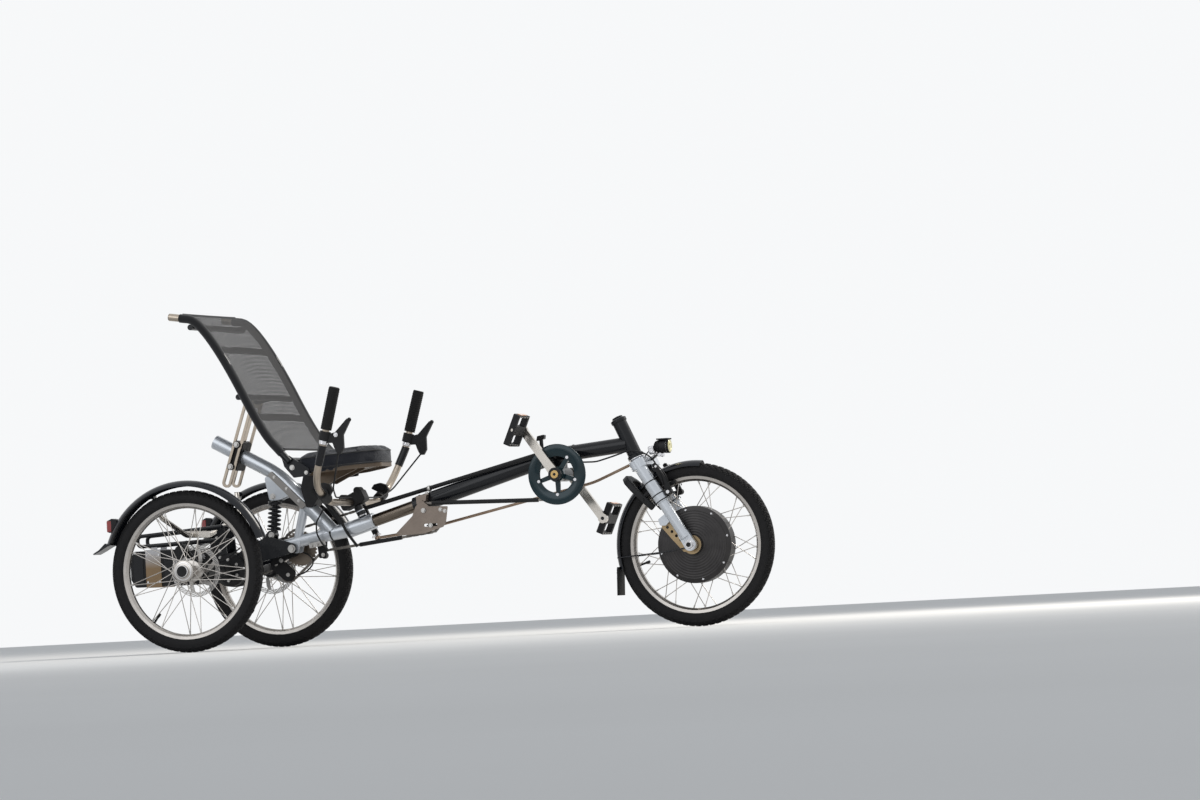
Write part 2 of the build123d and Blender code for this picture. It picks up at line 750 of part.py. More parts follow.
def drag_link():
    """Steering rod with an eye at each end, bent below the boom."""
    rear = on_axis(column_foot, arm_forward, arm_y, -130)
    front = on_axis(steering_foot, arm_forward, arm_y, -10)
    low_rear, low_front = Vector(600, arm_y, 340), Vector(1190, arm_y, 459)
    eye_reach = 6.5
    start = rear + (low_rear - rear).normalized() * eye_reach
    end = front + (low_front - front).normalized() * eye_reach
    bar = tube([tuple(start), tuple(low_rear), tuple(low_front), tuple(end)], 4.5, (300, 260))
    pieces = []
    for foot, up in ((column_foot, -130), (steering_foot, -10)):
        eye = Pos(arm_forward, arm_y, up) * (Cylinder(9, 8))
        pieces.append(lean_frame(foot).location * eye)
    body = joined(bar, *pieces)
    for foot, up in ((column_foot, -130), (steering_foot, -10)):
        hole = Pos(arm_forward, arm_y, up) * Cylinder(pin_radius + running_gap, 30)
        body -= lean_frame(foot).location * hole
    return body


# Crank, pedals and chain drive
arm_inner_near, arm_inner_far, arm_thickness = 58, 66, 13
chainring_teeth, cassette_teeth, idler_teeth = 38, 30, 11
guard_outer, guard_inner = 93, 56
pedal_tilt = 66


def pitch_radius(teeth):
    return chain_pitch / (2 * sin(pi / teeth))


def toothed_disc(teeth, thickness, clearance, bore):
    """A sprocket about the Y axis, with teeth that end short of the pitch circle."""
    tip, root = pitch_radius(teeth) - clearance, pitch_radius(teeth) - clearance - 4.5
    outline = []
    for i in range(teeth):
        for part_of_pitch, radius in ((0, root), (0.3, root), (0.5, tip), (0.8, tip)):
            angle = 2 * pi * (i + part_of_pitch) / teeth
            outline.append((radius * cos(angle), radius * sin(angle)))
    face = make_face(Polyline(*outline, close=True)) - Circle(bore)
    return extrude(Plane.XZ * face, thickness / 2, both=True)


def crank_arm(angle, y, side):
    """A tapered arm with round ends and its pedal axle."""
    end = (crank_length * cos(radians(angle)), crank_length * sin(radians(angle)))
    turn = Rot(0, -angle, 0)
    outline = [(0, -15.5), (60, -13), (crank_length, -12), (crank_length, 12), (60, 13), (0, 15.5)]
    arm = turn * side_plate(outline, y, arm_thickness)
    boss = cross_rod(0, 0, y - arm_thickness / 2, y + arm_thickness / 2, 19)
    tip = cross_rod(end[0], end[1], y - arm_thickness / 2, y + arm_thickness / 2, 15)
    axle = cross_rod(end[0], end[1], y, y + side * 100, 5)
    return joined(arm, boss, tip, axle)


def cranks():
    near_y = -(arm_inner_near + arm_thickness / 2)
    far_y = arm_inner_far + arm_thickness / 2
    spindle = cross_rod(0, 0, near_y, far_y, spindle_radius)
    body = joined(spindle, crank_arm(crank_angle, near_y, -1), crank_arm(crank_angle + 180, far_y, 1))
    return Pos(crank_centre[0], 0, crank_centre[1]) * body


def chainring():
    """Toothed ring, five-armed spider and the round guard in front of it."""
    ring = Pos(0, -chain_line, 0) * toothed_disc(chainring_teeth, 2.5, 4.8, guard_inner + 2)
    guard = cross_rod(0, 0, -55, -50, guard_outer, guard_inner)
    hub = cross_rod(0, 0, -57.5, -41, 24)
    pieces = [ring, hub]
    for i in range(5):
        arm = rounded_plate([(16, -8), (66, -6), (66, 6), (16, 8)], -46.5, 7, 2)
        pieces.append(Rot(0, 72 * i + 18, 0) * arm)
        pieces.append(Rot(0, 72 * i + 18, 0) * cross_rod(62, 0, -56, -44, 5))
    body = joined(guard, *pieces) - cross_rod(0, 0, -80, 80, spindle_radius)
    return Pos(crank_centre[0], 0, crank_centre[1]) * body


def pedal(side):
    """Platform pedal: a barrel on the axle inside an open cage."""
    angle = crank_angle if side < 0 else crank_angle + 180
    x = crank_centre[0] + crank_length * cos(radians(angle))
    z = crank_centre[1] + crank_length * sin(radians(angle))
    inner = arm_inner_near if side < 0 else arm_inner_far
    start = inner + arm_thickness + 4
    middle = side * (start + 47)
    cage = Box(100, 94, 20) - Pos(-29, 0, 0) * Box(30, 72, 30) - Pos(29, 0, 0) * Box(30, 72, 30)
    cage = fillet(cage.edges().filter_by(Axis.Z), 5)
    body = Pos(0, middle, 0) * cage
    body -= cross_rod(0, 0, side * (start - 1), side * (start + 100), 5 + running_gap)
    return Pos(x, 0, z) * Rot(0, -pedal_tilt, 0) * body


chain_wheels = (
    # x, z, y, teeth, turning sense
    (cassette_centre[0], cassette_centre[1], cassette_line, cassette_teeth, 1),
    (crank_centre[0], crank_centre[1], -chain_line, chainring_teeth, 1),
    (659, 401, -43, idler_teeth, -1),
    (686, 355, -43, idler_teeth, 1),
    (295, 280, 30, 7, -1),
    (167, 226, cassette_line, idler_teeth, 1),
    (128, 262, cassette_line, idler_teeth, -1),
)


def chain_runs():
    """The closed chain as straight runs and arcs, each with its length."""
    count = len(chain_wheels)
    leaving = []
    for i in range(count):
        x0, z0, y0, teeth0, sense0 = chain_wheels[i]
        x1, z1, y1, teeth1, sense1 = chain_wheels[(i + 1) % count]
        r0, r1 = sense0 * pitch_radius(teeth0), sense1 * pitch_radius(teeth1)
        heading = atan2(z1 - z0, x1 - x0) - asin((r0 - r1) / hypot(x1 - x0, z1 - z0))
        normal = (-sin(heading), cos(heading))
        start = Vector(x0 + r0 * normal[0], y0, z0 + r0 * normal[1])
        end = Vector(x1 + r1 * normal[0], y1, z1 + r1 * normal[1])
        leaving.append((heading, start, end))
    runs = []
    for i in range(count):
        heading, start, end = leaving[i]
        runs.append(("straight", start, end, (end - start).length))
        x, z, y, teeth, sense = chain_wheels[(i + 1) % count]
        turn = (heading - leaving[(i + 1) % count][0]) * sense % (2 * pi)
        radius = pitch_radius(teeth)
        first = heading + sense * pi / 2
        runs.append(("arc", (x, y, z, radius, first, -sense * turn), None, radius * turn))
    return runs


def chain_point(runs, distance):
    """The point at a distance along the chain."""
    for kind, a, b, length in runs:
        if distance <= length:
            part = distance / length
            if kind == "straight":
                return a + (b - a) * part
            x, y, z, radius, first, turn = a
            angle = first + turn * part
            return Vector(x + radius * cos(angle), y, z + radius * sin(angle))
        distance -= length
    return chain_point(runs, distance)


upper_tube_x = (446, 1048)
front_lower_x = (690, 1040)
rear_lower_x = (425, 575)
tube_runs = ((0, upper_tube_x), (2, front_lower_x), (6, rear_lower_x))
hidden_end = 6


def bare_spans(runs):
    """Start and end distance of each stretch of chain that lies outside its tubes."""
    marks = []
    distance = 0
    for kind, a, b, length in runs:
        marks.append((distance, distance + length))
        distance += length

    def at_x(index, x):
        start, end = runs[index][1], runs[index][2]
        return marks[index][0] + (x - start.X) / (end.X - start.X) * (marks[index][1] - marks[index][0])

    hidden = []
    for index, limits in tube_runs:
        ends = sorted((at_x(index, limits[0]), at_x(index, limits[1])))
        hidden.append((ends[0] + hidden_end, ends[1] - hidden_end))
    spans = []
    for i in range(3):
        end = hidden[(i + 1) % 3][0] + (distance if i == 2 else 0)
        spans.append((hidden[i][1], end))
    return spans


link_forms = ((4.6, 4), (6.4, 3))


def link(start, end, width, waist):
    """One link between two pins, an outer one waisted in the middle."""
    along = end - start
    middle = (start + end) * 0.5
    across = Vector(0, 1, 0)
    reach, half = along.length / 2 + 3.6, 4
    upper = [(-reach, 0), (1.6 - reach, half), (0, waist), (reach - 1.6, half), (reach, 0)]
    if waist == half:
        upper.pop(2)
    outline = upper + [(x, -z) for x, z in reversed(upper[1:-1])]
    side = across - along * (across.dot(along) / along.dot(along))
    plane = Plane(origin=middle, x_dir=along, z_dir=side)
    return extrude(plane * make_face(Polyline(*outline, close=True)), width / 2, both=True)


def drive_chain():
    """Links of every stretch that is open to view, in alternate widths."""
    runs = chain_runs()
    spans = []
    for start, end in bare_spans(runs):
        count = int((end - start) / chain_pitch)
        pins = [chain_point(runs, start + (end - start) * i / count) for i in range(count + 1)]
        links = [link(pins[i], pins[i + 1], *link_forms[i % 2]) for i in range(count)]
        spans.append(joined(*links))
    return Compound([solid for span in spans for solid in span.solids()])


def chain_tubes():
    """Plastic tubes round the long runs of the chain."""
    runs = chain_runs()
    tubes = []
    for index, limits in tube_runs:
        start, end = runs[index][1], runs[index][2]
        ends = [start + (end - start) * ((x - start.X) / (end.X - start.X)) for x in limits]
        tubes.append(rod(tuple(ends[0]), tuple(ends[1]), 6.6, 5.6))
    return Compound(tubes)


sprocket_pitch = 4.8


def cassette():
    """Stepped sprockets on the shaft that also carries the sprocket of the rear chain."""
    cx, cz = cassette_centre
    pieces = [cross_rod(cx, cz, -36, 94, shaft_radius), cross_rod(cx, cz, 24, 70, 15)]
    for i, teeth in enumerate((30, 27, 24, 21, 18, 15, 13)):
        disc = toothed_disc(teeth, 1.8, 4.8 if teeth == cassette_teeth else 0.4, 10)
        pieces.append(Pos(cx, cassette_line + sprocket_pitch * i, cz) * disc)
    return joined(*pieces)


def derailleur():
    """Cage with two jockey wheels, hung from the near bracket of the cassette shaft."""
    upper, lower = chain_wheels[6], chain_wheels[5]
    pieces = []
    for y in (cassette_line - 6, cassette_line + 6):
        pieces.append(rounded_plate([(108, 266), (128, 284), (146, 274), (188, 234), (182, 206),
                                     (158, 206), (112, 244)], y, 2.5, 9))
    for x, z, wy, teeth, sense in (upper, lower):
        pieces.append(cross_rod(x, z, wy - 9, wy + 9, 5))
        pieces.append(Pos(x, wy, z) * toothed_disc(teeth, 3, 4.8, 4))
    pieces.append(rounded_plate([(116, 256), (122, 278), (196, 300), (204, 286)], 28, 14, 5))
    return joined(*pieces)


def rear_chain():
    """Short chain from the cassette shaft to the axle, round two plain sprockets."""
    px, pz = cassette_centre
    radius = short_sprocket_radius
    pieces = []
    for x, z, bore in ((px, pz, shaft_radius), (0, axle_height, axle_tube_radius)):
        pieces.append(cross_rod(x, z, short_chain_y - 1.5, short_chain_y + 1.5, radius, bore))
    ring = SlotCenterToCenter(hypot(px, axle_height - pz), 2 * radius + 8)
    inner = SlotCenterToCenter(hypot(px, axle_height - pz), 2 * radius)
    middle = Plane(origin=(px / 2, short_chain_y, (pz + axle_height) / 2),
                   x_dir=(px, 0, pz - axle_height), z_dir=(0, -1, 0))
    band = extrude(middle * (ring - inner), 3, both=True)
    return joined(band, *pieces)


def chain_plate():
    """Side plate on the boom that carries the two idlers, with a slot for the lower one."""
    outline = [(660, 434), (682, 413), (744, 410), (736, 362), (726, 347), (665, 330), (590, 327),
               (568, 333), (627, 386), (638, 413)]
    plate = rounded_plate(outline, -53, 5, 3)
    slot = Plane.XZ.offset(60) * Pos(686, 355) * SlotOverall(46, 9)
    plate -= extrude(slot, -20)
    spacer = rounded_plate([(642, 418), (640, 446), (676, 452), (672, 431)], -40, 24, 3)
    for x, z, y, teeth, sense in chain_wheels[2:4]:
        plate = joined(plate, cross_rod(x, z, -58, -36, 4))
        spacer -= cross_rod(x, z, -50, -20, 28)
    return joined(plate, spacer - boom_tube())


def chain_guide():
    """Guide roller on a bracket below the lower tube."""
    x, z, y, teeth, sense = chain_wheels[4]
    roller = cross_rod(x, z, y - 6, y + 6, pitch_radius(teeth) - 4.3)
    plate = rounded_plate([(x - 14, z - 8), (x + 10, z - 8), (x + 16, 345), (x - 22, 340)], 19, 6, 4)
    pin = cross_rod(x, z, 16, y + 9, 3)
    return joined(roller, plate, pin) - taper()


def idlers():
    """The two toothed idlers of the side plate and the guide roller behind them."""
    wheels = [chain_guide()]
    for x, z, y, teeth, sense in chain_wheels[2:4]:
        wheels.append(Pos(x, y, z) * toothed_disc(teeth, 4, 4.8, 4))
    return Compound(wheels)


# Battery, rack, rear mudguards and lamps
battery_half = 48
battery_outline = ((-333, 235), (-318, 211), (-64, 211), (-58, 225), (-58, 310), (-70, 324), (-318, 324),
                   (-333, 300))


def battery():
    return rounded_plate(battery_outline, 0, 2 * battery_half, 5)


band_x = (-280, -228)
rack_y = 38


def battery_band():
    """Metal band round the battery with two ears up to the rack bars."""
    x0, x1 = band_x
    gap = 0.3
    outer = block(((x0 + x1) / 2, 0, 267.5), (x1 - x0, 2 * battery_half + 6, 119))
    inner = block(((x0 + x1) / 2, 0, 267.5), (x1 - x0 + 2, 2 * battery_half + gap, 113 + gap))
    ears = [block(((x0 + x1) / 2, side * rack_y, 333.2), (20, 4, 17.4)) for name, side in SIDES]
    return joined(outer - inner, *ears) - rack_bars()


def rack_bars():
    """An upright loop of round bar on each side, behind the axle housing."""
    loops = []
    for name, side in SIDES:
        points = [(x, side * rack_y, z) for x, z in ((-20, 388), (-309, 370), (-309, 338), (-28, 347))]
        loops.append(tube(points, 6, 14))
    return loops[0] + loops[1]


def rear_rack():
    """The loop with its two posts on the axle housing and the dock that holds the battery."""
    posts = [rounded_plate([(-44, 262), (-58, 300), (-44, 330), (-34, 392), (-14, 392), (-6, 300), (-6, 262)],
                           side * rack_y, 6, 5) for name, side in SIDES]
    dock = block((-48, 0, 268), (19, 84, 70))
    body = joined(rack_bars(), dock, *posts)
    body -= cross_rod(0, axle_height, -housing_radius - 1, housing_radius + 1, housing_radius)
    return body - battery()


rear_guard_radius, rear_guard_half = 280, 29
guard_tube_points = ((-119, 0, 365), (-119, 90, 365), (-106, 322, 424), (-120, 334, 498))


def mudguard_tube():
    """Bent tube across the rear that carries both mudguards, with its bolted clamp on the rack."""
    right = [(x, -y, z) for x, y, z in reversed(guard_tube_points[1:])]
    bar = tube(right + list(guard_tube_points[1:]), 8, (40, 120, 120, 40))
    clamp = block((-119, 0, 369), (44, 90, 20))
    bolts = [rod((x, side * 24, 379), (x, side * 24, 384), 6) for x in (-133, -105) for name, side in SIDES]
    return joined(bar, clamp, *bolts) - rack_bars()


def rear_mudguard(side):
    """Mudguard over a rear wheel, flaring out to a flap at the rear."""
    guard = guard_arc(rear_guard_radius, rear_guard_half, 2.5, 19.7, 160)
    flap = side_plate([(-246, 93), (-261, 99.5), (-283, 80), (-303, 69), (-301, 66), (-281, 75)], 0,
                      2 * rear_guard_half - 4)
    foot = block((-120, -side * 30, 240), (18, 15, 22))
    return Pos(0, side * wheel_y, axle_height) * joined(guard, flap, foot)


def rear_mudguards():
    bar = mudguard_tube()
    return Compound([rear_mudguard(side) - bar for name, side in SIDES])


def tail_light_body(side):
    """Lamp housing seated on the rear of a mudguard."""
    body = rounded_plate([(-251, 380), (-251, 420), (-240, 425), (-223, 421), (-223, 392)],
                         side * wheel_y, 34, 3)
    return body - Pos(0, side * wheel_y, axle_height) * guard_arc(rear_guard_radius, rear_guard_half, 40,
                                                                 100, 165)


def tail_lights():
    return Compound([tail_light_body(side) for name, side in SIDES])


def tail_lenses():
    return Compound([rounded_plate([(-256, 388), (-256, 416), (-251, 419), (-251, 385)],
                                   side * wheel_y, 30, 1.5) for name, side in SIDES])


def rear_calipers():
    """Disc brake calipers on brackets from the ends of the axle tube."""
    units = []
    for name, side in SIDES:
        y = side * (wheel_y - disc_offset)
        outline = [(-72, 296), (-58, 326), (-36, 338), (-20, 318), (-34, 302), (-54, 284)]
        body = rounded_plate(outline, y, 30, 6)
        body -= cross_rod(0, axle_height, y - 3, y + 3, disc_radius + 5)
        bracket_y = side * (axle_tube_end - 5)
        bracket = rounded_plate([(-16, 232), (-62, 290), (-54, 316), (-30, 318), (16, 268)], bracket_y, 8, 5)
        unit = joined(body, bracket) - cross_rod(0, axle_height, -400, 400, 27)
        units.append(unit)
    return Compound(units)


def cables():
    """Cables that the frame holds: below the front boom, to the chain tube and round the lower tube."""
    boom_side = -20
    boom_route = [(1120, boom_side, 524), (1190, boom_side, 521), (1226, boom_side, 520),
                  (1275, boom_side, 532), (1316, boom_side - 12, 542)]
    under_boom = tube(boom_route, cable_radius, (90, 90, 90))
    seat_side = -38
    to_tube = tube([(292, seat_side, 486), (374, seat_side, 400), (398, seat_side + 2, 348), (421, -9, 302)],
                   4.5, (100, 40))
    round_tube = tube([(330, seat_side, 430), (299, seat_side, 384), (298, seat_side, 350),
                       (310, -30, 318), (318, -4, 300)], cable_radius, (22, 40, 24))
    shapes = [under_boom - bent_boom() - steering_bearing(), to_tube, round_tube]
    return Compound([solid for shape in shapes for solid in shape.solids()])


parts = {}


def add(node, shape):
    parts[node] = shape


def build():
    add("rear_rack", rear_rack())
    add("battery", battery())
    add("battery_band", battery_band())
    add("mudguard_tube", mudguard_tube())
    add("rear_mudguards", rear_mudguards())
    add("tail_lights", tail_lights())
    add("tail_lenses", tail_lenses())
    add("rear_calipers", rear_calipers())
    add("backrest_sling", backrest_sling())
    add("cables", cables())
    add("slotted_bars", slotted_bars())
    add("bar_clamp", bar_clamp())
    add("fork", fork())
    add("torque_arm", torque_arm())
    add("front_mudguard", front_mudguard())
    add("headlight", headlight())
    add("headlight_lens", headlight_lens())
    add("front_brake", front_brake())
    add("handlebar", handlebar())
    add("stem_clamp", stem_clamp())
    add("grips", grips())
    add("brake_levers", brake_levers())
    add("bar_cables", bar_cables())
    add("drag_link", drag_link())
    add("cranks", cranks())
    add("chainring", chainring())
    for name, side in SIDES:
        add("pedal_" + name, pedal(side))
    add("drive_chain", drive_chain())
    add("chain_tubes", chain_tubes())
    add("cassette", cassette())
    add("derailleur", derailleur())
    add("rear_chain", rear_chain())
    add("chain_plate", chain_plate())
    add("idlers", idlers())
    front = (wheelbase, 0, axle_height)
    add("front_tyre", tyre(front))
    add("front_rim", front_rim())
    add("hub_motor", hub_motor())
    for name, side in SIDES:
        y = side * wheel_y
        add("rear_tyre_" + name, tyre((0, y, axle_height)))
        add("rear_wheel_" + name, rear_wheel(y))
        add("brake_disc_" + name, brake_disc(y, side))
    add("lower_tube", lower_tube())
    add("seat_tube", seat_tube())
    add("side_rails", side_rails())
    add("inner_tube", inner_tube())
    add("front_boom", front_boom())
    add("head_tube", head_tube())
    add("crank_shell", crank_shell())
    add("steering_bearing", steering_bearing())
    add("axle_housing", axle_housing())
    add("swing_arm", swing_arm())
    add("spring_and_damper", shock())
    add("tube_boot", tube_boot())
    add("seat_base", seat_base())
    add("seat_pan", seat_pan())
    add("seat_cushion", seat_cushion())
    add("backrest_frame", backrest_frame())


build()
os.makedirs("parts", exist_ok=True)
for node, shape in parts.items():
    export_step(Pos(-middle_x, 0, 0) * shape, "parts/" + node + ".step")
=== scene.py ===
import math

import bmesh
import bpy
from mathutils import Matrix, Vector
from mathutils.bvhtree import BVHTree


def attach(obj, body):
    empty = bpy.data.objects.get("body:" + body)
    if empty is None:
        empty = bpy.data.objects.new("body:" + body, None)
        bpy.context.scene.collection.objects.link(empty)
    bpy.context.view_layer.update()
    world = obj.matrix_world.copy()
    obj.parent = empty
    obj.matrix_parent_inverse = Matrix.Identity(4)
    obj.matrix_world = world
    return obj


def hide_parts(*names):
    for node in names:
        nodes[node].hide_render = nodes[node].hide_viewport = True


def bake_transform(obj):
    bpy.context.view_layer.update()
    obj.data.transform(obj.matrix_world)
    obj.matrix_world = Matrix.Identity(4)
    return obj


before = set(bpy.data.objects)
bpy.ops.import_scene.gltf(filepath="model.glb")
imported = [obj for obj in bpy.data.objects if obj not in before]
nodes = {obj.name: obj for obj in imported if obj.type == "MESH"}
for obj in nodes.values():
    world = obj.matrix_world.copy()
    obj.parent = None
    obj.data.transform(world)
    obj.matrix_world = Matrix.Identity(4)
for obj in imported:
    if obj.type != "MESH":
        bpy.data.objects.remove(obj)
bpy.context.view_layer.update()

# Sizes are written in millimetres as on the trike: x forward from the rear axle, y to the rider's
# left, z up from the floor. at() turns them into metres in the frame of the CAD model.
mm = 0.001
middle_x = 724
wheelbase, half_track, wheel_radius = 1531, 372.5, 250
crank_x, crank_z, crank_length, crank_turn = 1108, 488, 172, math.radians(125)
steering_foot, column_foot = (1348, 532), (417, 447)
lean = math.radians(24)
lean_axis = Vector((-math.sin(lean), 0, math.cos(lean)))
seat_slope = 0.088
rail_half = 212
sides = (-1, 1)


def at(x, y, z):
    """A point of the trike in metres, in the frame of the CAD model."""
    return Vector(((x - middle_x) / 1000, y / 1000, z / 1000))


def leaned(foot, forward, y, up):
    """A point measured from the foot of a leaning steering axis, across it and along it."""
    x = foot[0] + forward * math.cos(lean) - up * math.sin(lean)
    z = foot[1] + forward * math.sin(lean) + up * math.cos(lean)
    return at(x, y, z)


def pedal_eye(sign, y):
    """The pedal axis at the end of the right crank for sign 1 and of the left one for -1."""
    return at(crank_x + sign * crank_length * math.cos(crank_turn), y,
              crank_z + sign * crank_length * math.sin(crank_turn))


def seat_line(x):
    """Height of the seat pan's upper face."""
    return 548 + seat_slope * (x - 407)


class Socket:
    """An output of a shader node that takes part in Python sums."""

    def __init__(self, finish, link):
        self.finish, self.link = finish, link

    def sum(self, operation, first, second, clamp=False):
        return self.finish.node("Math", {"operation": operation, "use_clamp": clamp}, {0: first, 1: second})

    def __add__(self, other):
        return self.sum("ADD", self, other)

    def __radd__(self, other):
        return self.sum("ADD", other, self)

    def __sub__(self, other):
        return self.sum("SUBTRACT", self, other)

    def __rsub__(self, other):
        return self.sum("SUBTRACT", other, self)

    def __mul__(self, other):
        return self.sum("MULTIPLY", self, other)

    def __rmul__(self, other):
        return self.sum("MULTIPLY", other, self)

    def over(self, limit):
        return self.sum("GREATER_THAN", self, limit)

    def power(self, exponent):
        return self.sum("POWER", self, exponent)

    def clamped(self):
        return self.sum("ADD", self, 0, True)

    def wave(self):
        return self.sum("SINE", self, 0)


class Finish:
    """One procedural material."""

    def __init__(self, name, colour=(0.5, 0.5, 0.5), rough=0.5, metal=0.0, coat=0.0, spec=0.5):
        self.material = bpy.data.materials.new(name)
        self.material.use_nodes = True
        self.tree = self.material.node_tree
        self.shader = self.tree.nodes["Principled BSDF"]
        self.set("Base Color", (*colour, 1))
        self.set("Roughness", rough)
        self.set("Metallic", metal)
        self.set("Coat Weight", coat)
        self.set("Coat Roughness", 0.08)
        self.set("Specular IOR Level", spec)
        self.place = self.node("TexCoord", {}, {}, "Object")

    def set(self, name, value):
        self.put(self.shader.inputs[name], value)

    def put(self, socket, value):
        if isinstance(value, Socket):
            self.tree.links.new(value.link, socket)
        else:
            socket.default_value = value

    def node(self, kind, settings, sockets, output=0):
        added = self.tree.nodes.new("ShaderNode" + kind)
        for key, value in settings.items():
            setattr(added, key, value)
        for key, value in sockets.items():
            self.put(added.inputs[key], value)
        return Socket(self, added.outputs[output])

    def noise(self, scale, detail=2.0, rough=0.5, place=None):
        return self.node("TexNoise", {}, {"Vector": place or self.place, "Scale": scale, "Detail": detail,
                                          "Roughness": rough})

    def stretched(self, scale):
        """The piece's own coordinates, scaled by a different amount along each axis."""
        return self.node("Mapping", {}, {"Vector": self.place, "Scale": scale})

    def axes(self, place=None):
        split = self.tree.nodes.new("ShaderNodeSeparateXYZ")
        self.put(split.inputs[0], place or self.place)
        return [Socket(self, out) for out in split.outputs]

    def crossed_waves(self, pitch):
        """Waves both ways across the piece's own UV map, with crests pitch metres apart."""
        u, v, _ = self.axes(self.node("UVMap", {}, {}))
        turn = math.tau / (2 * pitch)
        return (u * turn).wave() * (v * turn).wave()

    def mix(self, factor, first, second):
        as_colour = [(*c, 1) if isinstance(c, tuple) else c for c in (first, second)]
        return self.node("Mix", {"data_type": "RGBA"}, {0: factor, 6: as_colour[0], 7: as_colour[1]}, 2)

    def bump(self, height, distance, strength=1.0):
        bumped = self.node("Bump", {}, {"Height": height, "Distance": distance, "Strength": strength})
        self.set("Normal", bumped)


def painted(name, dark, light, rough, metal=0.0, coat=0.5, spec=0.4):
    """Gloss paint with faint unevenness and a little dust."""
    f = Finish(name, light, rough, metal, coat, spec)
    cloud = f.noise(14, 4, 0.6)
    f.set("Base Color", f.mix(cloud, dark, light))
    dust = f.noise(90, 3, 0.6)
    f.set("Roughness", rough + 0.07 * cloud + 0.05 * dust)
    f.bump(f.noise(300, 2), 0.00006, 0.12)
    return f.material


def bare_metal(name, dark, light, rough, grain=(40, 40, 900)):
    """Turned or drawn metal with a fine directional grain."""
    f = Finish(name, light, rough, 1.0)
    lines = f.noise(6, 3, 0.6, f.stretched(grain))
    cloud = f.noise(30, 3)
    f.set("Base Color", f.mix(cloud, dark, light))
    f.set("Roughness", rough - 0.04 + 0.1 * lines)
    f.bump(lines, 0.00003, 0.2)
    return f.material


def moulded(name, dark, light, rough, grain=1400):
    """Moulded plastic or rubber with a fine grain and paler scuffs."""
    f = Finish(name, light, rough, spec=0.2)
    scuff = f.noise(60, 5, 0.7)
    f.set("Base Color", f.mix(scuff.power(2.0).clamped(), dark, light))
    f.set("Roughness", rough - 0.06 + 0.2 * scuff)
    f.bump(f.noise(grain, 2), 0.00015, 0.35)
    return f.material


def woven(name, dark, light, pitch):
    """Plain woven cloth on the piece's own UV map, with threads pitch metres apart."""
    f = Finish(name, light, 0.85, spec=0.25)
    threads = f.crossed_waves(pitch)
    cloud = f.noise(25, 4, 0.6)
    f.set("Base Color", f.mix((0.5 + 0.3 * threads + 0.4 * (cloud - 0.5)).clamped(), dark, light))
    f.set("Roughness", 0.78 + 0.15 * cloud)
    f.set("Sheen Weight", 0.3)
    f.bump(threads, 0.0004, 0.5)
    return f.material


silver = painted("silver_paint", (0.50, 0.53, 0.57), (0.60, 0.63, 0.67), 0.24, 0.55, 0.6)
black_paint = painted("black_gloss_paint", (0.004, 0.005, 0.007), (0.010, 0.011, 0.014),
                      0.2, 0.0, 0.15, 0.22)
# The seat pan's bronze-brown is a painted reflection: black gloss paint tinted as if it reflected a brown
# ground.
pan_painted_reflection = painted("seat_pan_painted_reflection", (0.095, 0.068, 0.046), (0.155, 0.112, 0.074), 0.36, 0.2, 0.2, 0.3)
dark_tube = bare_metal("dark_anodised_tube", (0.10, 0.085, 0.07), (0.19, 0.16, 0.13), 0.24)
rail_grey = bare_metal("grey_rail_metal", (0.19, 0.18, 0.17), (0.27, 0.26, 0.25), 0.42)
# The chain plate's dark brown-grey is painted shade: the metal is darkened as if it lay in shadow.
plate_painted_shade = bare_metal("chain_plate_painted_shade", (0.17, 0.14, 0.12), (0.25, 0.21, 0.18), 0.42)
steel = bare_metal("steel", (0.42, 0.41, 0.40), (0.60, 0.59, 0.57), 0.34)
# The cassette's brown tint is a painted reflection of the ground on dark steel.
cassette_painted_reflection = bare_metal("cassette_painted_reflection", (0.11, 0.09, 0.075), (0.24, 0.205, 0.17), 0.36)
chain_steel = bare_metal("chain_steel", (0.12, 0.11, 0.10), (0.26, 0.24, 0.22), 0.42)
alloy = bare_metal("polished_alloy", (0.50, 0.47, 0.43), (0.66, 0.62, 0.57), 0.22)
bar_metal = bare_metal("handlebar_metal", (0.33, 0.28, 0.23), (0.48, 0.42, 0.35), 0.3)
link_metal = bare_metal("drag_link_metal", (0.20, 0.14, 0.10), (0.33, 0.25, 0.19), 0.36)
motor_metal = bare_metal("motor_cover_metal", (0.034, 0.033, 0.034), (0.066, 0.063, 0.063), 0.46)
gold = bare_metal("gold_anodised", (0.24, 0.175, 0.10), (0.38, 0.285, 0.17), 0.34)
black_plastic = moulded("black_plastic", (0.010, 0.010, 0.011), (0.028, 0.028, 0.029), 0.45)
mudguard_plastic = painted("mudguard_gloss", (0.004, 0.005, 0.008), (0.009, 0.011, 0.016),
                           0.18, 0.0, 0.2, 0.25)
# The chainring guard is black; its teal tint is a painted sheen of reflected sky.
ring_guard_painted_sheen = painted("guard_painted_sheen", (0.002, 0.009, 0.013), (0.005, 0.030, 0.040), 0.12, 0.2, 0.3, 0.25)
rubber = moulded("rubber", (0.009, 0.009, 0.009), (0.025, 0.024, 0.023), 0.7, 900)
tyre_rubber = moulded("tyre_rubber", (0.009, 0.009, 0.010), (0.029, 0.027, 0.026), 0.72, 700)
red_lens = painted("red_lens", (0.20, 0.006, 0.006), (0.36, 0.012, 0.012), 0.12, 0.0, 1.0)
chrome = bare_metal("chrome", (0.62, 0.62, 0.64), (0.82, 0.82, 0.84), 0.14, (30, 30, 300))
brass = bare_metal("brass", (0.40, 0.25, 0.10), (0.62, 0.43, 0.18), 0.28)
lamp_yellow = painted("lamp_reflector_yellow", (0.62, 0.55, 0.20), (0.86, 0.80, 0.45), 0.12, 0.6, 1.0)
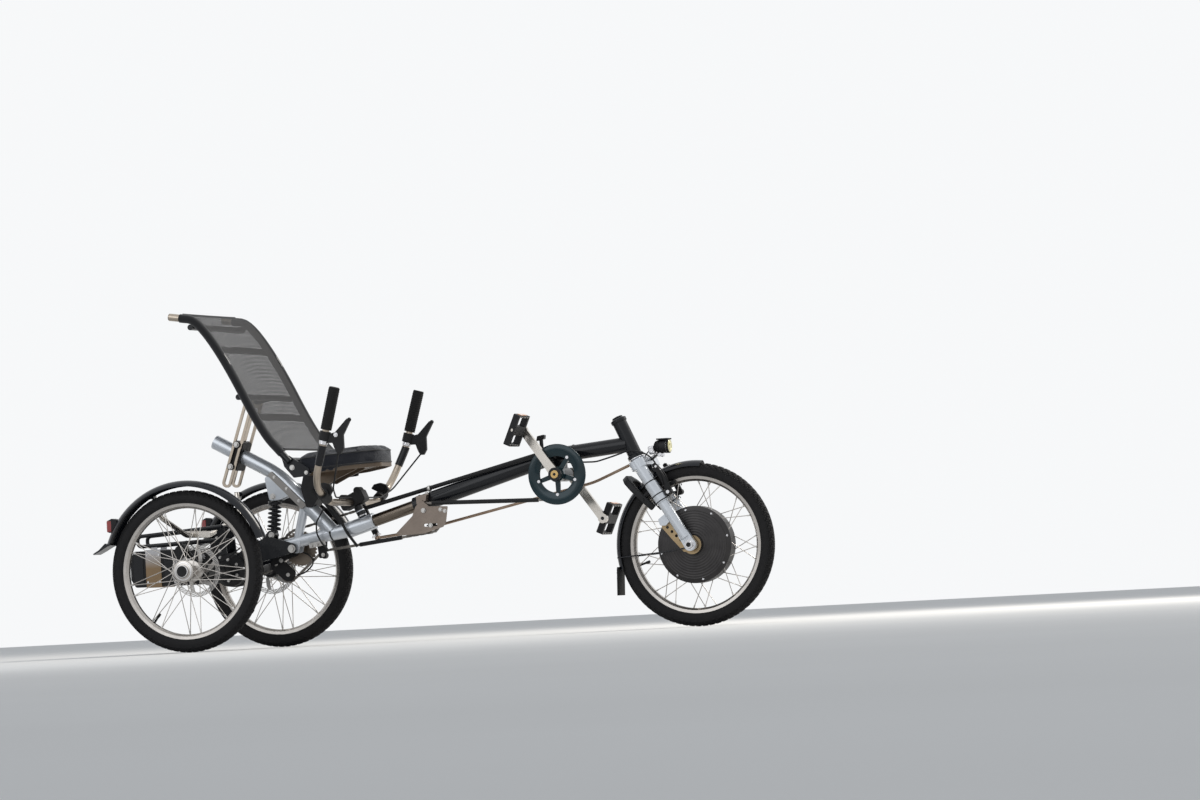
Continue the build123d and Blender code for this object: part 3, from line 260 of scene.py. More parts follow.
amber = painted("amber_reflector", (0.48, 0.16, 0.02), (0.75, 0.30, 0.05), 0.16, 0.0, 1.0)
rim_tone = bare_metal("rim_alloy", (0.36, 0.34, 0.32), (0.54, 0.51, 0.48), 0.24, (60, 60, 60))
hem_cloth = woven("hem_cloth", (0.006, 0.006, 0.007), (0.020, 0.020, 0.022), 0.0016)
cushion_cloth = woven("cushion_cloth", (0.004, 0.005, 0.008), (0.016, 0.018, 0.026), 0.0012)


def drilled_disc():
    """Brake disc steel with rows of drilled holes in its friction ring."""
    f = Finish("brake_disc_steel", (0.5, 0.5, 0.5), 0.3, 1.0)
    holes_round, slant = 36, 1100
    inner_row, outer_row = 0.0672, 0.0788
    grinding = 9000
    x, _, z = f.axes()
    across, up = x - at(0, 0, 0).x, z - wheel_radius * mm
    radius = (across * across + up * up).power(0.5)
    turn = f.node("Math", {"operation": "ARCTAN2"}, {0: up, 1: across})
    rows = radius.over(inner_row) * (1 - radius.over(outer_row))
    hole = (turn * holes_round + radius * slant).wave().over(0.3) * rows
    lines = (radius * grinding).wave()
    f.set("Base Color", f.mix(f.noise(50, 3), (0.36, 0.35, 0.34), (0.56, 0.55, 0.54)))
    f.set("Roughness", 0.3 + 0.05 * lines)
    f.set("Alpha", 1 - hole)
    return f.material


disc_steel = drilled_disc()


def band_with_painted_reflection():
    """Bare silver band that is brown below a height; the brown is a painted reflection of the ground."""
    f = Finish("battery_band_painted_reflection", (0.6, 0.5, 0.3), 0.3, 1.0)
    reflection_edge_height, reflection_edge_softness = 0.268, 20
    lines = f.noise(6, 3, 0.6, f.stretched((40, 40, 700)))
    above_reflection_edge = ((f.axes()[2] - reflection_edge_height) * reflection_edge_softness).clamped()
    # Below the edge height the band is brown as a painted reflection of the ground; above it, the band's own
    # silver.
    f.set("Base Color", f.mix(above_reflection_edge, (0.2, 0.14, 0.085), (0.36, 0.36, 0.37)))
    f.set("Roughness", 0.26 + 0.1 * lines)
    return f.material


band_painted_reflection = band_with_painted_reflection()


def net(name, dark, light, pitch):
    """Knitted net on the piece's own UV map, with open cells pitch metres apart."""
    f = Finish(name, light, 0.7, spec=0.3)
    cells = f.crossed_waves(pitch)
    f.set("Base Color", f.mix(f.noise(40, 3), dark, light))
    open_share = 0.72
    f.set("Alpha", 1 - (cells * cells).over(open_share))
    f.bump(cells, 0.0005, 0.5)
    return f.material


net_cloth = net("net_cloth", (0.008, 0.008, 0.009), (0.024, 0.024, 0.026), 0.005)


def lens_glass():
    """Clear lamp glass with upright ribs."""
    f = Finish("lamp_glass", (0.92, 0.94, 0.96), 0.08, 0.0, 1.0)
    f.set("Transmission Weight", 0.6)
    ribs = (f.axes()[1] * 2600).wave()
    f.bump(ribs, 0.0003, 0.6)
    return f.material


lamp_glass = lens_glass()

node_finish = {
    "lower_tube": silver, "seat_tube": silver, "side_rails": rail_grey, "inner_tube": dark_tube,
    "front_boom": black_paint, "head_tube": black_paint, "crank_shell": black_paint,
    "steering_bearing": black_paint, "axle_housing": black_plastic, "swing_arm": black_paint,
    "spring_and_damper": black_paint, "tube_boot": rubber, "cassette": cassette_painted_reflection,
    "derailleur": black_plastic, "rear_chain": chain_steel, "drive_chain": chain_steel,
    "chain_tubes": black_plastic, "chain_plate": plate_painted_shade, "idlers": black_plastic,
    "battery": black_plastic, "battery_band": band_painted_reflection, "rear_rack": black_paint,
    "mudguard_tube": alloy, "rear_mudguards": mudguard_plastic, "tail_lights": black_plastic,
    "tail_lenses": red_lens, "cables": black_plastic, "bar_cables": black_plastic,
    "rear_calipers": black_plastic, "seat_base": black_plastic, "seat_pan": pan_painted_reflection,
    "seat_cushion": cushion_cloth, "backrest_frame": black_paint, "backrest_sling": black_plastic,
    "slotted_bars": bar_metal, "bar_clamp": black_plastic, "fork": silver, "torque_arm": gold,
    "front_mudguard": mudguard_plastic, "headlight": black_plastic, "headlight_lens": lamp_glass,
    "front_brake": black_plastic, "front_tyre": tyre_rubber, "front_rim": rim_tone,
    "hub_motor": motor_metal, "rear_tyre_right": tyre_rubber, "rear_tyre_left": tyre_rubber,
    "rear_wheel_right": rim_tone, "rear_wheel_left": rim_tone, "brake_disc_right": disc_steel,
    "brake_disc_left": disc_steel, "cranks": alloy, "chainring": ring_guard_painted_sheen, "pedal_right": black_plastic,
    "pedal_left": black_plastic, "handlebar": bar_metal, "stem_clamp": black_plastic, "grips": rubber,
    "brake_levers": black_plastic, "drag_link": link_metal,
}
for name, cad_node in nodes.items():
    cad_node.data.materials.clear()
    cad_node.data.materials.append(node_finish[name])


def formed(name, bm, material):
    """Turns a bmesh into a smooth piece of one finish."""
    mesh = bpy.data.meshes.new(name)
    bm.to_mesh(mesh)
    bm.free()
    mesh.materials.append(material)
    mesh.shade_smooth()
    piece = bpy.data.objects.new(name, mesh)
    bpy.context.collection.objects.link(piece)
    return piece


def made(name, bm, material, body):
    """Turns a bmesh into a piece that rides on a body."""
    piece = formed(name, bm, material)
    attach(piece, body)
    return piece


wheels = {
    "front_tyre": (at(wheelbase, 0, wheel_radius), "front_wheel"),
    "rear_tyre_right": (at(0, -half_track, wheel_radius), "rear_wheel_right"),
    "rear_tyre_left": (at(0, half_track, wheel_radius), "rear_wheel_left"),
}


def tyre(node, centre, body):
    """Tyre with a worn road tread: shoulder blocks and centre lugs raised from a spun carcass."""
    bm = bmesh.new()
    carcass_radius, middle = 0.0213, 0.2265
    bead_turn = 138
    tread_height, groove = 0.0021, 0.0004
    steps = 216
    ring = []
    for i in range(25):
        turn = math.radians(-bead_turn + 2 * bead_turn * i / 24)
        spot = Vector((middle + carcass_radius * math.cos(turn), carcass_radius * math.sin(turn), 0))
        ring.append(bm.verts.new(centre + spot))
    edges = [bm.edges.new((a, b)) for a, b in zip(ring, ring[1:])]
    bmesh.ops.spin(bm, geom=ring + edges, cent=centre, axis=(0, 1, 0), dvec=(0, 0, 0), angle=math.tau,
                   steps=steps, use_merge=True)
    bmesh.ops.recalc_face_normals(bm, faces=bm.faces)
    blocks = []
    for face in bm.faces:
        place = face.calc_center_median() - centre
        row = abs(place.y / carcass_radius)
        step = int(math.degrees(math.atan2(place.z, place.x)) % 360 / 360 * steps)
        lug = row < 0.3 and step % 3 != 0
        shoulder_block = 0.36 < row < 0.96 and (step + int(row * 6)) % 3 != 1
        if math.hypot(place.x, place.z) >= middle + 0.006 and (lug or shoulder_block):
            blocks.append(face)
    bmesh.ops.inset_individual(bm, faces=blocks, thickness=groove, depth=tread_height,
                               use_even_offset=True)
    piece = made(node + "_tread", bm, tyre_rubber, body)
    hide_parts(node)


for node, (centre, body) in wheels.items():
    tyre(node, centre, body)


pan_plan = [(310, 180), (400, 180), (486, 116), (532, 46)]
cushion_plan = [(304, 194), (402, 195), (489, 127), (537, 54)]
cushion_lip = 9


def over_pan(x, y):
    """Whether a place lies above the seat pan."""
    for (x0, y0), (x1, y1) in zip(pan_plan, pan_plan[1:]):
        if x0 <= x <= x1:
            return abs(y) < y0 + (y1 - y0) * (x - x0) / (x1 - x0)
    return False


def cushion():
    """Crowned seat pad with a lip round the pan, swollen by cloth simulation."""
    pad_height, corner, cell = 0.054, 0.022, 0.006
    outline = [(x, -y) for x, y in cushion_plan] + cushion_plan[::-1]
    bm = bmesh.new()
    face = bm.faces.new([bm.verts.new(at(x, y, seat_line(x) - cushion_lip)) for x, y in outline])
    grown = bmesh.ops.extrude_face_region(bm, geom=[face])["geom"]
    top = [g for g in grown if isinstance(g, bmesh.types.BMVert)]
    bmesh.ops.translate(bm, vec=(0, 0, pad_height), verts=top)
    bmesh.ops.recalc_face_normals(bm, faces=bm.faces)
    upright = [e for e in bm.edges if abs((e.verts[0].co - e.verts[1].co).z) > 0.03]
    bmesh.ops.bevel(bm, geom=upright, offset=corner, segments=5, profile=0.5, affect="EDGES",
                    material=-1)
    piece = made("cushion", bm, cushion_cloth, "frame")
    remesh = piece.modifiers.new("even", "REMESH")
    remesh.mode = "VOXEL"
    remesh.voxel_size = cell
    apply_modifiers(piece)
    before = [v.co.copy() for v in piece.data.vertices]
    swell(piece, pressure=4.0, frames=20)
    cap_moves(piece, before, limit=0.012)
    soften = piece.modifiers.new("fine", "SUBSURF")
    soften.levels = soften.render_levels = 1
    apply_modifiers(piece)
    lie_flat(piece)
    unwrap_from_above(piece)
    piece.data.materials.clear()
    piece.data.materials.append(cushion_cloth)
    piece.data.shade_smooth()
    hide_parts("seat_cushion")
    return piece


def cushion_seams(piece):
    """Piping round the pad and two seams along its top, laid on the finished surface."""
    mesh = piece.data
    tree = BVHTree.FromPolygons([v.co for v in mesh.vertices], [p.vertices for p in mesh.polygons])
    b = Batch("cushion_piping", hem_cloth, "frame", "cushion")
    for height in (3, 39):
        loop = []
        for i in range(97):
            turn = math.tau * i / 96
            heading = Vector((math.cos(turn), math.sin(turn), seat_slope * math.cos(turn))).normalized()
            middle = at(425, 0, seat_line(425) + height)
            spot = tree.ray_cast(middle + heading * 0.3, -heading)[0]
            if spot:
                loop.append(spot + heading * 0.0006)
        b.hose(loop, 2.2, 8, 1)
    for y in (-72, 72):
        line = []
        for i in range(14):
            spot = tree.ray_cast(at(326 + 13 * i, y, 900), Vector((0, 0, -1)))[0]
            if spot:
                line.append(spot + Vector((0, 0, 0.0003)))
        b.hose(line, 1.3, 8, 1)
    b.done()


def apply_modifiers(piece):
    """Bakes a piece's modifiers into its mesh."""
    bpy.context.view_layer.update()
    evaluated = piece.evaluated_get(bpy.context.evaluated_depsgraph_get())
    baked = bpy.data.meshes.new_from_object(evaluated)
    piece.modifiers.clear()
    piece.data = baked


def swell(piece, pressure, frames):
    """Blows the pad up as cloth, and keeps the shape of the last frame."""
    cloth = piece.modifiers.new("swell", "CLOTH")
    cloth.settings.use_pressure = True
    cloth.settings.uniform_pressure_force = pressure
    cloth.settings.effector_weights.gravity = 0
    scene = bpy.context.scene
    for number in range(1, frames + 1):
        scene.frame_set(number)
    apply_modifiers(piece)
    scene.frame_set(1)


def cap_moves(piece, before, limit):
    """Holds every vertex within a limit of its place before the swelling."""
    for vertex, start in zip(piece.data.vertices, before):
        move = vertex.co - start
        if move.length > limit:
            vertex.co = start + move.normalized() * limit


def lie_flat(piece):
    """The underside rests on the seat pan, and its lip hangs round the pan's edge."""
    for vertex in piece.data.vertices:
        x = vertex.co.x * 1000 + middle_x
        drop = 0.8 if over_pan(x, vertex.co.y * 1000) else -cushion_lip
        vertex.co.z = max(vertex.co.z, (seat_line(x) + drop) * mm)


def unwrap_from_above(piece):
    """Lays the cloth's threads in metres, from above and down the edge."""
    layer = piece.data.uv_layers.new(name="cloth")
    for loop in piece.data.loops:
        place = piece.data.vertices[loop.vertex_index].co
        layer.data[loop.index].uv = (place.x, place.y + place.z)


def laid(centre, axis):
    """Matrix that lays local Z along an axis through a centre."""
    return Matrix.Translation(centre) @ Vector(axis).to_track_quat("Z", "Y").to_matrix().to_4x4()


def eased(points, rounds=2):
    """Cuts the corners of a line, its ends kept."""
    points = [Vector(p) for p in points]
    for number in range(rounds):
        cut = [points[0]]
        for a, b in zip(points, points[1:]):
            cut += [a.lerp(b, 0.25), a.lerp(b, 0.75)]
        points = cut + [points[-1]]
    return points


class Batch:
    """Small pieces of one finish on one body, gathered in one mesh."""

    def __init__(self, name, material, body, slot):
        self.name, self.material, self.body, self.slot = name, material, body, slot
        self.bm = bmesh.new()

    def soften(self, verts, width, segments=1):
        """Bevels the sharp edges at the given vertices."""
        rims = {e for v in verts for e in v.link_edges if e.calc_face_angle(0) > 0.9}
        bmesh.ops.bevel(self.bm, geom=list(rims), offset=width, segments=segments, profile=0.5,
                        affect="EDGES", material=-1)

    def barrel(self, centre, axis, radius, height, sides=20, soft=0.3, top=None):
        """A round or hexagonal piece with its middle at the centre; sizes in millimetres."""
        end = radius if top is None else top
        verts = bmesh.ops.create_cone(self.bm, cap_ends=True, segments=sides, radius1=radius * mm,
                                      radius2=end * mm, depth=height * mm)["verts"]
        bmesh.ops.transform(self.bm, matrix=laid(centre, axis), verts=verts)
        if soft:
            self.soften(verts, soft * mm)

    def box(self, centre, size, turn=None, soft=0.6):
        """A block with softened edges; sizes in millimetres."""
        verts = bmesh.ops.create_cube(self.bm, size=1)["verts"]
        bmesh.ops.scale(self.bm, vec=[s * mm for s in size], verts=verts)
        matrix = Matrix.Translation(centre) @ (turn or Matrix.Identity(4))
        bmesh.ops.transform(self.bm, matrix=matrix, verts=verts)
        if soft:
            self.soften(verts, soft * mm)

    def hoop(self, centre, axis, radius, thick, wide=None, steps=40):
        """A ring round an axis with an oval section, thick across the axis and wide along it."""
        verts = bmesh.ops.create_circle(self.bm, segments=8, radius=1)["verts"]
        shape = (Matrix.Translation((radius * mm, 0, 0)) @ Matrix.Rotation(math.pi / 2, 4, "X")
                 @ Matrix.Diagonal((thick * mm, (wide or thick) * mm, 1, 1)))
        bmesh.ops.transform(self.bm, matrix=laid(centre, axis) @ shape, verts=verts)
        edges = list({e for v in verts for e in v.link_edges})
        bmesh.ops.spin(self.bm, geom=verts + edges, cent=centre, axis=Vector(axis).normalized(),
                       dvec=(0, 0, 0), angle=math.tau, steps=steps, use_merge=True)

    def hose(self, points, radius, sides=8, rounds=2):
        """A round cable or sleeve along an eased line; the radius in millimetres."""
        line = eased(points, rounds)
        verts = bmesh.ops.create_circle(self.bm, cap_ends=True, segments=sides, radius=radius * mm)["verts"]
        axis = (line[1] - line[0]).normalized()
        turn = axis.to_track_quat("Z", "Y")
        bmesh.ops.transform(self.bm, matrix=Matrix.Translation(line[0]) @ turn.to_matrix().to_4x4(),
                            verts=verts)
        edges = list({e for v in verts for e in v.link_edges})
        for i in range(1, len(line)):
            ahead = line[min(i + 1, len(line) - 1)] - line[i - 1]
            swing = axis.rotation_difference(ahead.normalized()).to_matrix().to_4x4()
            grown = bmesh.ops.extrude_edge_only(self.bm, edges=edges)["geom"]
            verts = [g for g in grown if isinstance(g, bmesh.types.BMVert)]
            edges = [g for g in grown if isinstance(g, bmesh.types.BMEdge)
                     and all(v in verts for v in g.verts)]
            move = Matrix.Translation(line[i]) @ swing @ Matrix.Translation(-line[i - 1])
            bmesh.ops.transform(self.bm, matrix=move, verts=verts)
            axis = ahead.normalized()
        bmesh.ops.holes_fill(self.bm, edges=edges, sides=sides)

    def lathe(self, centre, profile, axis=(0, 1, 0), steps=72):
        """A spun surface from (radius, place along the axis) pairs in millimetres."""
        place = laid(centre, axis)
        ring = [self.bm.verts.new(place @ Vector((r * mm, 0, y * mm))) for r, y in profile]
        edges = [self.bm.edges.new(pair) for pair in zip(ring, ring[1:])]
        bmesh.ops.spin(self.bm, geom=ring + edges, cent=centre, axis=Vector(axis).normalized(),
                       dvec=(0, 0, 0), angle=math.tau, steps=steps, use_merge=True)

    def bolt(self, x, y, z, out, radius=4.5, height=3.0):
        """A hexagon head on its washer, facing the rider's right for out -1 and left for out 1."""
        axis = (0, out, 0)
        self.barrel(at(x, y + out * 0.5, z), axis, radius * 1.4, 1.0, 24, 0.2)
        self.barrel(at(x, y + out * (1 + height / 2), z), axis, radius, height, 6, 0.4)

    def done(self):
        """Closes the batch as one piece."""
        bmesh.ops.recalc_face_normals(self.bm, faces=self.bm.faces)
        piece = made(self.name, self.bm, self.material, self.body)
        piece.data.set_sharp_from_angle(angle=math.radians(38))
        return piece


def rear_and_frame_hardware():
    """Bolts, nuts, clips and the bracket below the lower tube."""
    b = Batch("frame_bolts", steel, "frame", "steel")
    for x, z, radius in ((665, 401, 5.5), (721, 401, 4.5), (735, 396, 4.5), (687, 354, 5)):
        b.bolt(x, -58 if radius > 4.6 else -55.5, z, -1, radius)
    for side in sides:
        b.bolt(296, side * 207, 554, side, 6)
        b.bolt(342, side * 207, 536, side, 4.5)
        for x, z in ((163, 532), (202, 494), (241, 454)):
            b.bolt(x, side * 31.5, z, side, 4)
        for x, z in ((22.8, 572.7), (47, 640.5)):
            b.bolt(x, side * 48, z, side, 6.5, 5)
        b.bolt(95, side * 42, 775, side, 6, 4)
        b.bolt(150, side * 20.5, 472, side, 7, 4)
        b.bolt(138, side * 19, 352, side, 7, 4)
        for x, z in ((-30, 312), (-30, 290), (-38, 352)):
            b.bolt(x, side * 41, z, side, 4)
        for x, z in ((-50, 305), (-36, 322)):
            b.bolt(x, side * 292.5, z, -side, 4, 4)
        for i in range(6):
            turn = math.radians(60 * i + 30)
            b.bolt(33 * math.cos(turn), side * 52, wheel_radius + 33 * math.sin(turn), side, 3.6)
        for x in (-133, -105):
            b.barrel(at(x, side * 24, 386), (0, 0, 1), 5, 4, 6)
    b.bolt(210, -34, 306, -1, 9, 5)
    b.bolt(210, 92, 306, 1, 9, 5)
    for x, z in ((167, 226), (128, 262)):
        b.bolt(x, 31, z, -1, 4.5)
        b.bolt(x, 49, z, 1, 4.5)
    b.bolt(150, 21, 272, -1, 5)
    b.bolt(295, 15, 282, -1, 4.5, 5)
    b.box(at(289, -15, 316), (54, 5, 16), Matrix.Rotation(math.radians(-9), 4, "Y"), 1)
    for x, z in ((270, 312), (289, 315), (308, 318)):
        b.bolt(x, -17.5, z, -1, 5, 5)
    b.hoop(at(668, -4.6, 469), (1, -0.1, 0.22), 8.2, 1.4, 5)
    b.box(at(668, -17, 455), (12, 24, 4))
    b.bolt(668, -29, 455, -1, 3.6)
    b.done()


def weld_beads():
    """Rippled beads where the silver tubes meet, and cable ties round the lower tube."""
    b = Batch("weld_beads", silver, "frame", "silver_frame")
    climb = math.radians(15.6)
    slope = Vector((math.cos(climb), 0, math.sin(climb)))
    b.hoop(at(398, 0, 356.4), slope, 24.6, 1.6, 3)
    b.hoop(at(478, 0, 378.6), slope, 24.6, 1.3, 2.4)
    b.hoop(at(433, 0, 411), lean_axis, 14, 1.5, 2)
    b.done()
    ties = Batch("cable_ties", black_plastic, "frame", "black_plastic")
    run, rise, growth = 242, 40, 9
    along = Vector((run, 0, rise)).normalized()
    for x in (176, 336):
        z = 317 + (x - 158) * rise / run
        radius = 15.4 + (x - 158) * growth / run
        ties.hoop(at(x, 0, z), along, radius, 1.1, 2.6)
        ties.box(at(x, -radius - 1, z + 4), (5, 4, 6))
    ties.hoop(at(640, 0, 423.7), slope, 27.2, 1.4, 3)
    ties.hoop(at(1150, 0, 552.7), (1, 0, 0.087), 24.2, 1.2, 3)
    ties.done()


def battery_detail():
    """Raised panels, lock, band screws and charge port of the battery."""
    b = Batch("battery_panels", black_paint, "frame", "black_plastic")
    for side in sides:
        b.box(at(-306, side * 48.4, 268), (34, 2.4, 92), soft=1)
        b.box(at(-146, side * 48.4, 262), (146, 2.4, 78), soft=1)
        for z in (232, 246, 278, 292):
            b.box(at(-146, side * 49.8, z), (128, 1.6, 3), soft=0.5)
    b.box(at(-196, 0, 211.5), (250, 70, 2.4), soft=1)
    b.done()
    lock = Batch("battery_lock", chrome, "frame", "steel")
    lock.barrel(at(-84, -49.4, 296), (0, 1, 0), 8, 3)
    lock.box(at(-84, -51, 296), (2, 1.2, 8), soft=0.2)
    for x in (-274, -234):
        for z in (226, 310):
            for side in sides:
                lock.barrel(at(x, side * 51.8, z), (0, 1, 0), 3.4, 2.4, 6)
    lock.done()
    port = Batch("charge_port", rubber, "frame", "rubber")
    port.barrel(at(-84, -49.6, 240), (0, 1, 0), 10, 3.6, 24, 1)
    port.box(at(-84, -51.6, 229), (6, 1.6, 8), soft=0.5)
    port.done()


def rear_cables():
    """Brake cables along the axle tube and the small parts round the axle."""
    b = Batch("axle_cables", black_plastic, "frame", "black_plastic")
    for side in sides:
        b.hose([at(-40, side * 300, 338), at(-34, side * 280, 348), at(-20, side * 230, 300),
                at(-14, side * 180, 272), at(-8, side * 110, 273), at(10, side * 62, 292),
                at(40, side * 40, 318)], 2.4)
        for y in (120, 190, 250):
            b.hoop(at(0, side * y, wheel_radius), (0, 1, 0), 20, 1.1, 2.4)
        b.barrel(at(-40, side * 300, 334), (0.1, 0, 1), 4, 16, 6)
    b.hose([at(196, 20, 300), at(240, 24, 290), at(262, 26, 262), at(232, 30, 232), at(196, 34, 222)], 2.4)
    b.hoop(at(0, 0, wheel_radius), (0, 1, 0), 52.4, 1.6, 3, 72)
    for y in (-14, 14):
        b.hoop(at(0, y, wheel_radius), (0, 1, 0), 52, 1.4, 2, 72)
    b.done()


def lamp_detail():
    """Reflector, rim and bracket of the headlight, and the ribs of the tail lights."""
    b = Batch("lamp_rim", black_plastic, "fork", "black_plastic")
    b.hoop(at(1457, 0, 556), (1, 0, 0), 20.6, 1.6, 3.4)
    for x in (1416, 1420, 1424, 1428):
        b.hoop(at(x, 0, 556), (1, 0, 0), 15.5 + (x - 1416) * 0.4, 1.2, 0.8)
    b.hose([at(1411, 0, 550), at(1396, -8, 546), at(1386, -16, 530), at(1374, -20, 512)], 1.8)
    b.done()
    r = Batch("lamp_reflector", lamp_yellow, "fork", "lens")
    r.barrel(at(1456.6, 0, 556), (1, 0, 0), 17.5, 9, 40, 0.5, 19)
    r.hoop(at(1461.2, 0, 556), (1, 0, 0), 12, 1.4, 1)
    r.barrel(at(1461.6, 0, 562), (1, 0, 0), 5, 1.6, 24)
    r.done()
    s = Batch("lamp_bracket", chrome, "fork", "steel")
    s.box(at(1431, 0, 530), (18, 20, 10), soft=1)
    s.box(at(1403, 0, 546), (20, 24, 26), Matrix.Rotation(math.radians(-12), 4, "Y"), 3)
    s.hoop(at(1403, -12, 546), (0, 1, 0), 7, 1.6)
    s.box(at(1405, 0, 524.5), (34, 18, 3), Matrix.Rotation(math.radians(-36), 4, "Y"), 0.5)
    s.bolt(1431, -10, 530, -1, 4.5)
    s.bolt(1431, 10, 530, 1, 4.5)
    s.done()
    t = Batch("tail_ribs", red_lens, "frame", "red_lens")
    for side in sides:
        for z in range(391, 416, 4):
            t.box(at(-257.6, side * half_track, z), (1.4, 28, 1.6), soft=0.4)
        t.box(at(-248.5, side * half_track, 401.5), (18, 35.4, 37), soft=3)
    t.done()


def fork_detail():
    """Collars on both legs, headset rings, axle nuts, brake pivots and springs."""
    k = Batch("leg_rings", black_plastic, "fork", "black_plastic")
    c = Batch("fork_nuts", chrome, "fork", "steel")
    top_forward, top_up = 12, -24
    axle_forward, axle_up = 52.5, -332
    rake = (axle_forward - top_forward) / (top_up - axle_up)

    def on_fork(forward, y, up):
        return leaned(steering_foot, forward, y, up)

    leg_axis = (on_fork(top_forward, 0, top_up) - on_fork(axle_forward, 0, axle_up)).normalized()
    for side in sides:
        for up, radius in ((-104, 19.6), (-150, 21.0), (-172, 21.0)):
            forward = top_forward + rake * (top_up - up)
            k.hoop(on_fork(forward, side * 60, up), leg_axis, radius, 1.3, 1.7)
        c.barrel(on_fork(axle_forward, side * 69, axle_up), (0, 1, 0), 16, 2, 32)
        c.barrel(on_fork(axle_forward, side * 74.5, axle_up), (0, 1, 0), 12.7, 9.5, 6, 0.8)
        k.barrel(on_fork(axle_forward, side * 82.4, axle_up), (0, 1, 0), 7.2, 2, 20, 0.8)
        c.barrel(on_fork(62, side * 65, -156), (0, 1, 0), 6, 5, 6)
        c.barrel(on_fork(60, side * 55.5, -68), (0, 1, 0), 4.2, 5, 6)
    c.hoop(on_fork(0, 0, -9), lean_axis, 24.6, 1.6, 2.4)
    k.barrel(on_fork(0, 0, 130), lean_axis, 17, 4, 32, 1)
    k.barrel(on_fork(0, 0, 133), lean_axis, 4, 3, 6)
    c.done()
    for side in sides:
        k.hose([on_fork(66, side * 57, -64), on_fork(78, side * 57, -100), on_fork(74, side * 57, -140)],
               1.6)
    k.done()


def front_brake_cable():
    """Cable that loops from the head to the front brake, across the steering axis."""
    b = Batch("front_brake_cable", black_plastic, "frame", "black_plastic")
    b.hose([at(1318, -33, 543), at(1338, -34, 548), at(1366, -36, 545), at(1398, -40, 534),
            at(1423, -46, 513), at(1438, -52, 482), at(1446, -57, 458), at(1452, -57, 438)], 2.5, 10, 3)
    bmesh.ops.recalc_face_normals(b.bm, faces=b.bm.faces)
    piece = formed(b.name, b.bm, b.material)
    at(1340, -34, 548)
    at(1436, -50, 486)
    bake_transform(piece)


def mud_flap():
    """Rubber flap below the front mudguard, held by two rivets."""
    b = Batch("front_mud_flap", rubber, "fork", "rubber")
    b.box(at(wheelbase - 251.5, 0, 149), (7, 56, 84), Matrix.Rotation(math.radians(2), 4, "Y"), 1.2)
    for z in (176, 158, 140, 122):
        b.box(at(wheelbase - 255.4, 0, z), (1.6, 48, 3), soft=0.4)
    b.done()
    r = Batch("flap_rivets", steel, "fork", "steel")
    for side in sides:
        r.barrel(at(wheelbase - 256, side * 16, 184), (-1, 0, 0), 3.4, 2.4, 16, 0.6)
    r.done()


def wheel_lock():
    """Horseshoe lock in a radial plane round the front tyre, with a stay to each fork leg."""
    turn = math.radians(135)
    radial = Vector((math.cos(turn), 0, math.sin(turn)))
    around = Vector((-radial.z, 0, radial.x))
    centre = at(wheelbase, 0, wheel_radius)
    half_thickness = 10
    outer = [(52, 166), (57, 205), (55, 258), (44, 288), (22, 305)]
    inner = [(39, 166), (41, 205), (40, 250), (32, 270), (16, 280)]
    outline = (outer + [(-y, r) for y, r in outer[::-1]]
               + [(-y, r) for y, r in inner] + inner[::-1])
    b = Batch("wheel_lock", black_plastic, "fork", "black_plastic")
    near = [b.bm.verts.new(centre + Vector((0, y * mm, 0)) + radial * r * mm
                           - around * half_thickness * mm)
            for y, r in outline]
    grown = bmesh.ops.extrude_face_region(b.bm, geom=[b.bm.faces.new(near)])["geom"]
    far = [g for g in grown if isinstance(g, bmesh.types.BMVert)]
    bmesh.ops.translate(b.bm, vec=around * 2 * half_thickness * mm, verts=far)
    b.soften(near + far, 3.5 * mm, 3)
    for side in sides:
        b.hose([at(1380, side * 48, 402), at(1396, side * 51, 412), at(1412, side * 54, 424)], 6, 12)
        b.bolt(1384, side * 56, 396, side, 4)
    b.done()
    k = Batch("lock_barrel", chrome, "fork", "steel")
    face = centre + Vector((0, 30 * mm, 0)) + radial * 286 * mm + around * (half_thickness + 1) * mm
    k.barrel(face, around, 8, 3, 28, 0.6)
    k.box(face + around * 1.6 * mm, (1.6, 7, 1.6), soft=0.2)
    k.done()


def motor_covers():
    """Turned covers with concentric grooves, their screws and the boss round the axle."""
    profile = []
    for i in range(41):
        groove = 0.9 if i % 4 < 2 else 0.2
        profile.append((24 + 80 * i / 40, 33 - 7 * i / 40 + groove))
    b = Batch("motor_covers", motor_metal, "front_wheel", "motor")
    s = Batch("motor_screws", chrome, "front_wheel", "steel")
    centre = at(wheelbase, 0, wheel_radius)
    screw_circle = 108
    for side in sides:
        b.lathe(centre, profile, (0, side, 0), 96)
        for i in range(8):
            turn = math.radians(45 * i + 12)
            x, z = wheelbase + screw_circle * math.cos(turn), wheel_radius + screw_circle * math.sin(turn)
            s.barrel(at(x, side * 24.8, z), (0, side, 0), 2.6, 2.4, 6, 0.3)
            s.barrel(at(x, side * 24, z), (0, side, 0), 3.8, 1.6, 20, 0.2)
        b.lathe(centre, [(9, 39.5), (17, 39.2), (19.5, 37), (24, 34.2)], (0, side, 0), 48)
    b.done()
    s.done()


# Body, axle place, degrees that a spoke crosses, and radius and half width of the hub flanges.
spoke_sets = (
    ("front_wheel", wheelbase, 0, 16, 117, 18),
    ("rear_wheel_right", 0, -half_track, 50, 31, 30),
    ("rear_wheel_left", 0, half_track, 50, 31, 30),
)


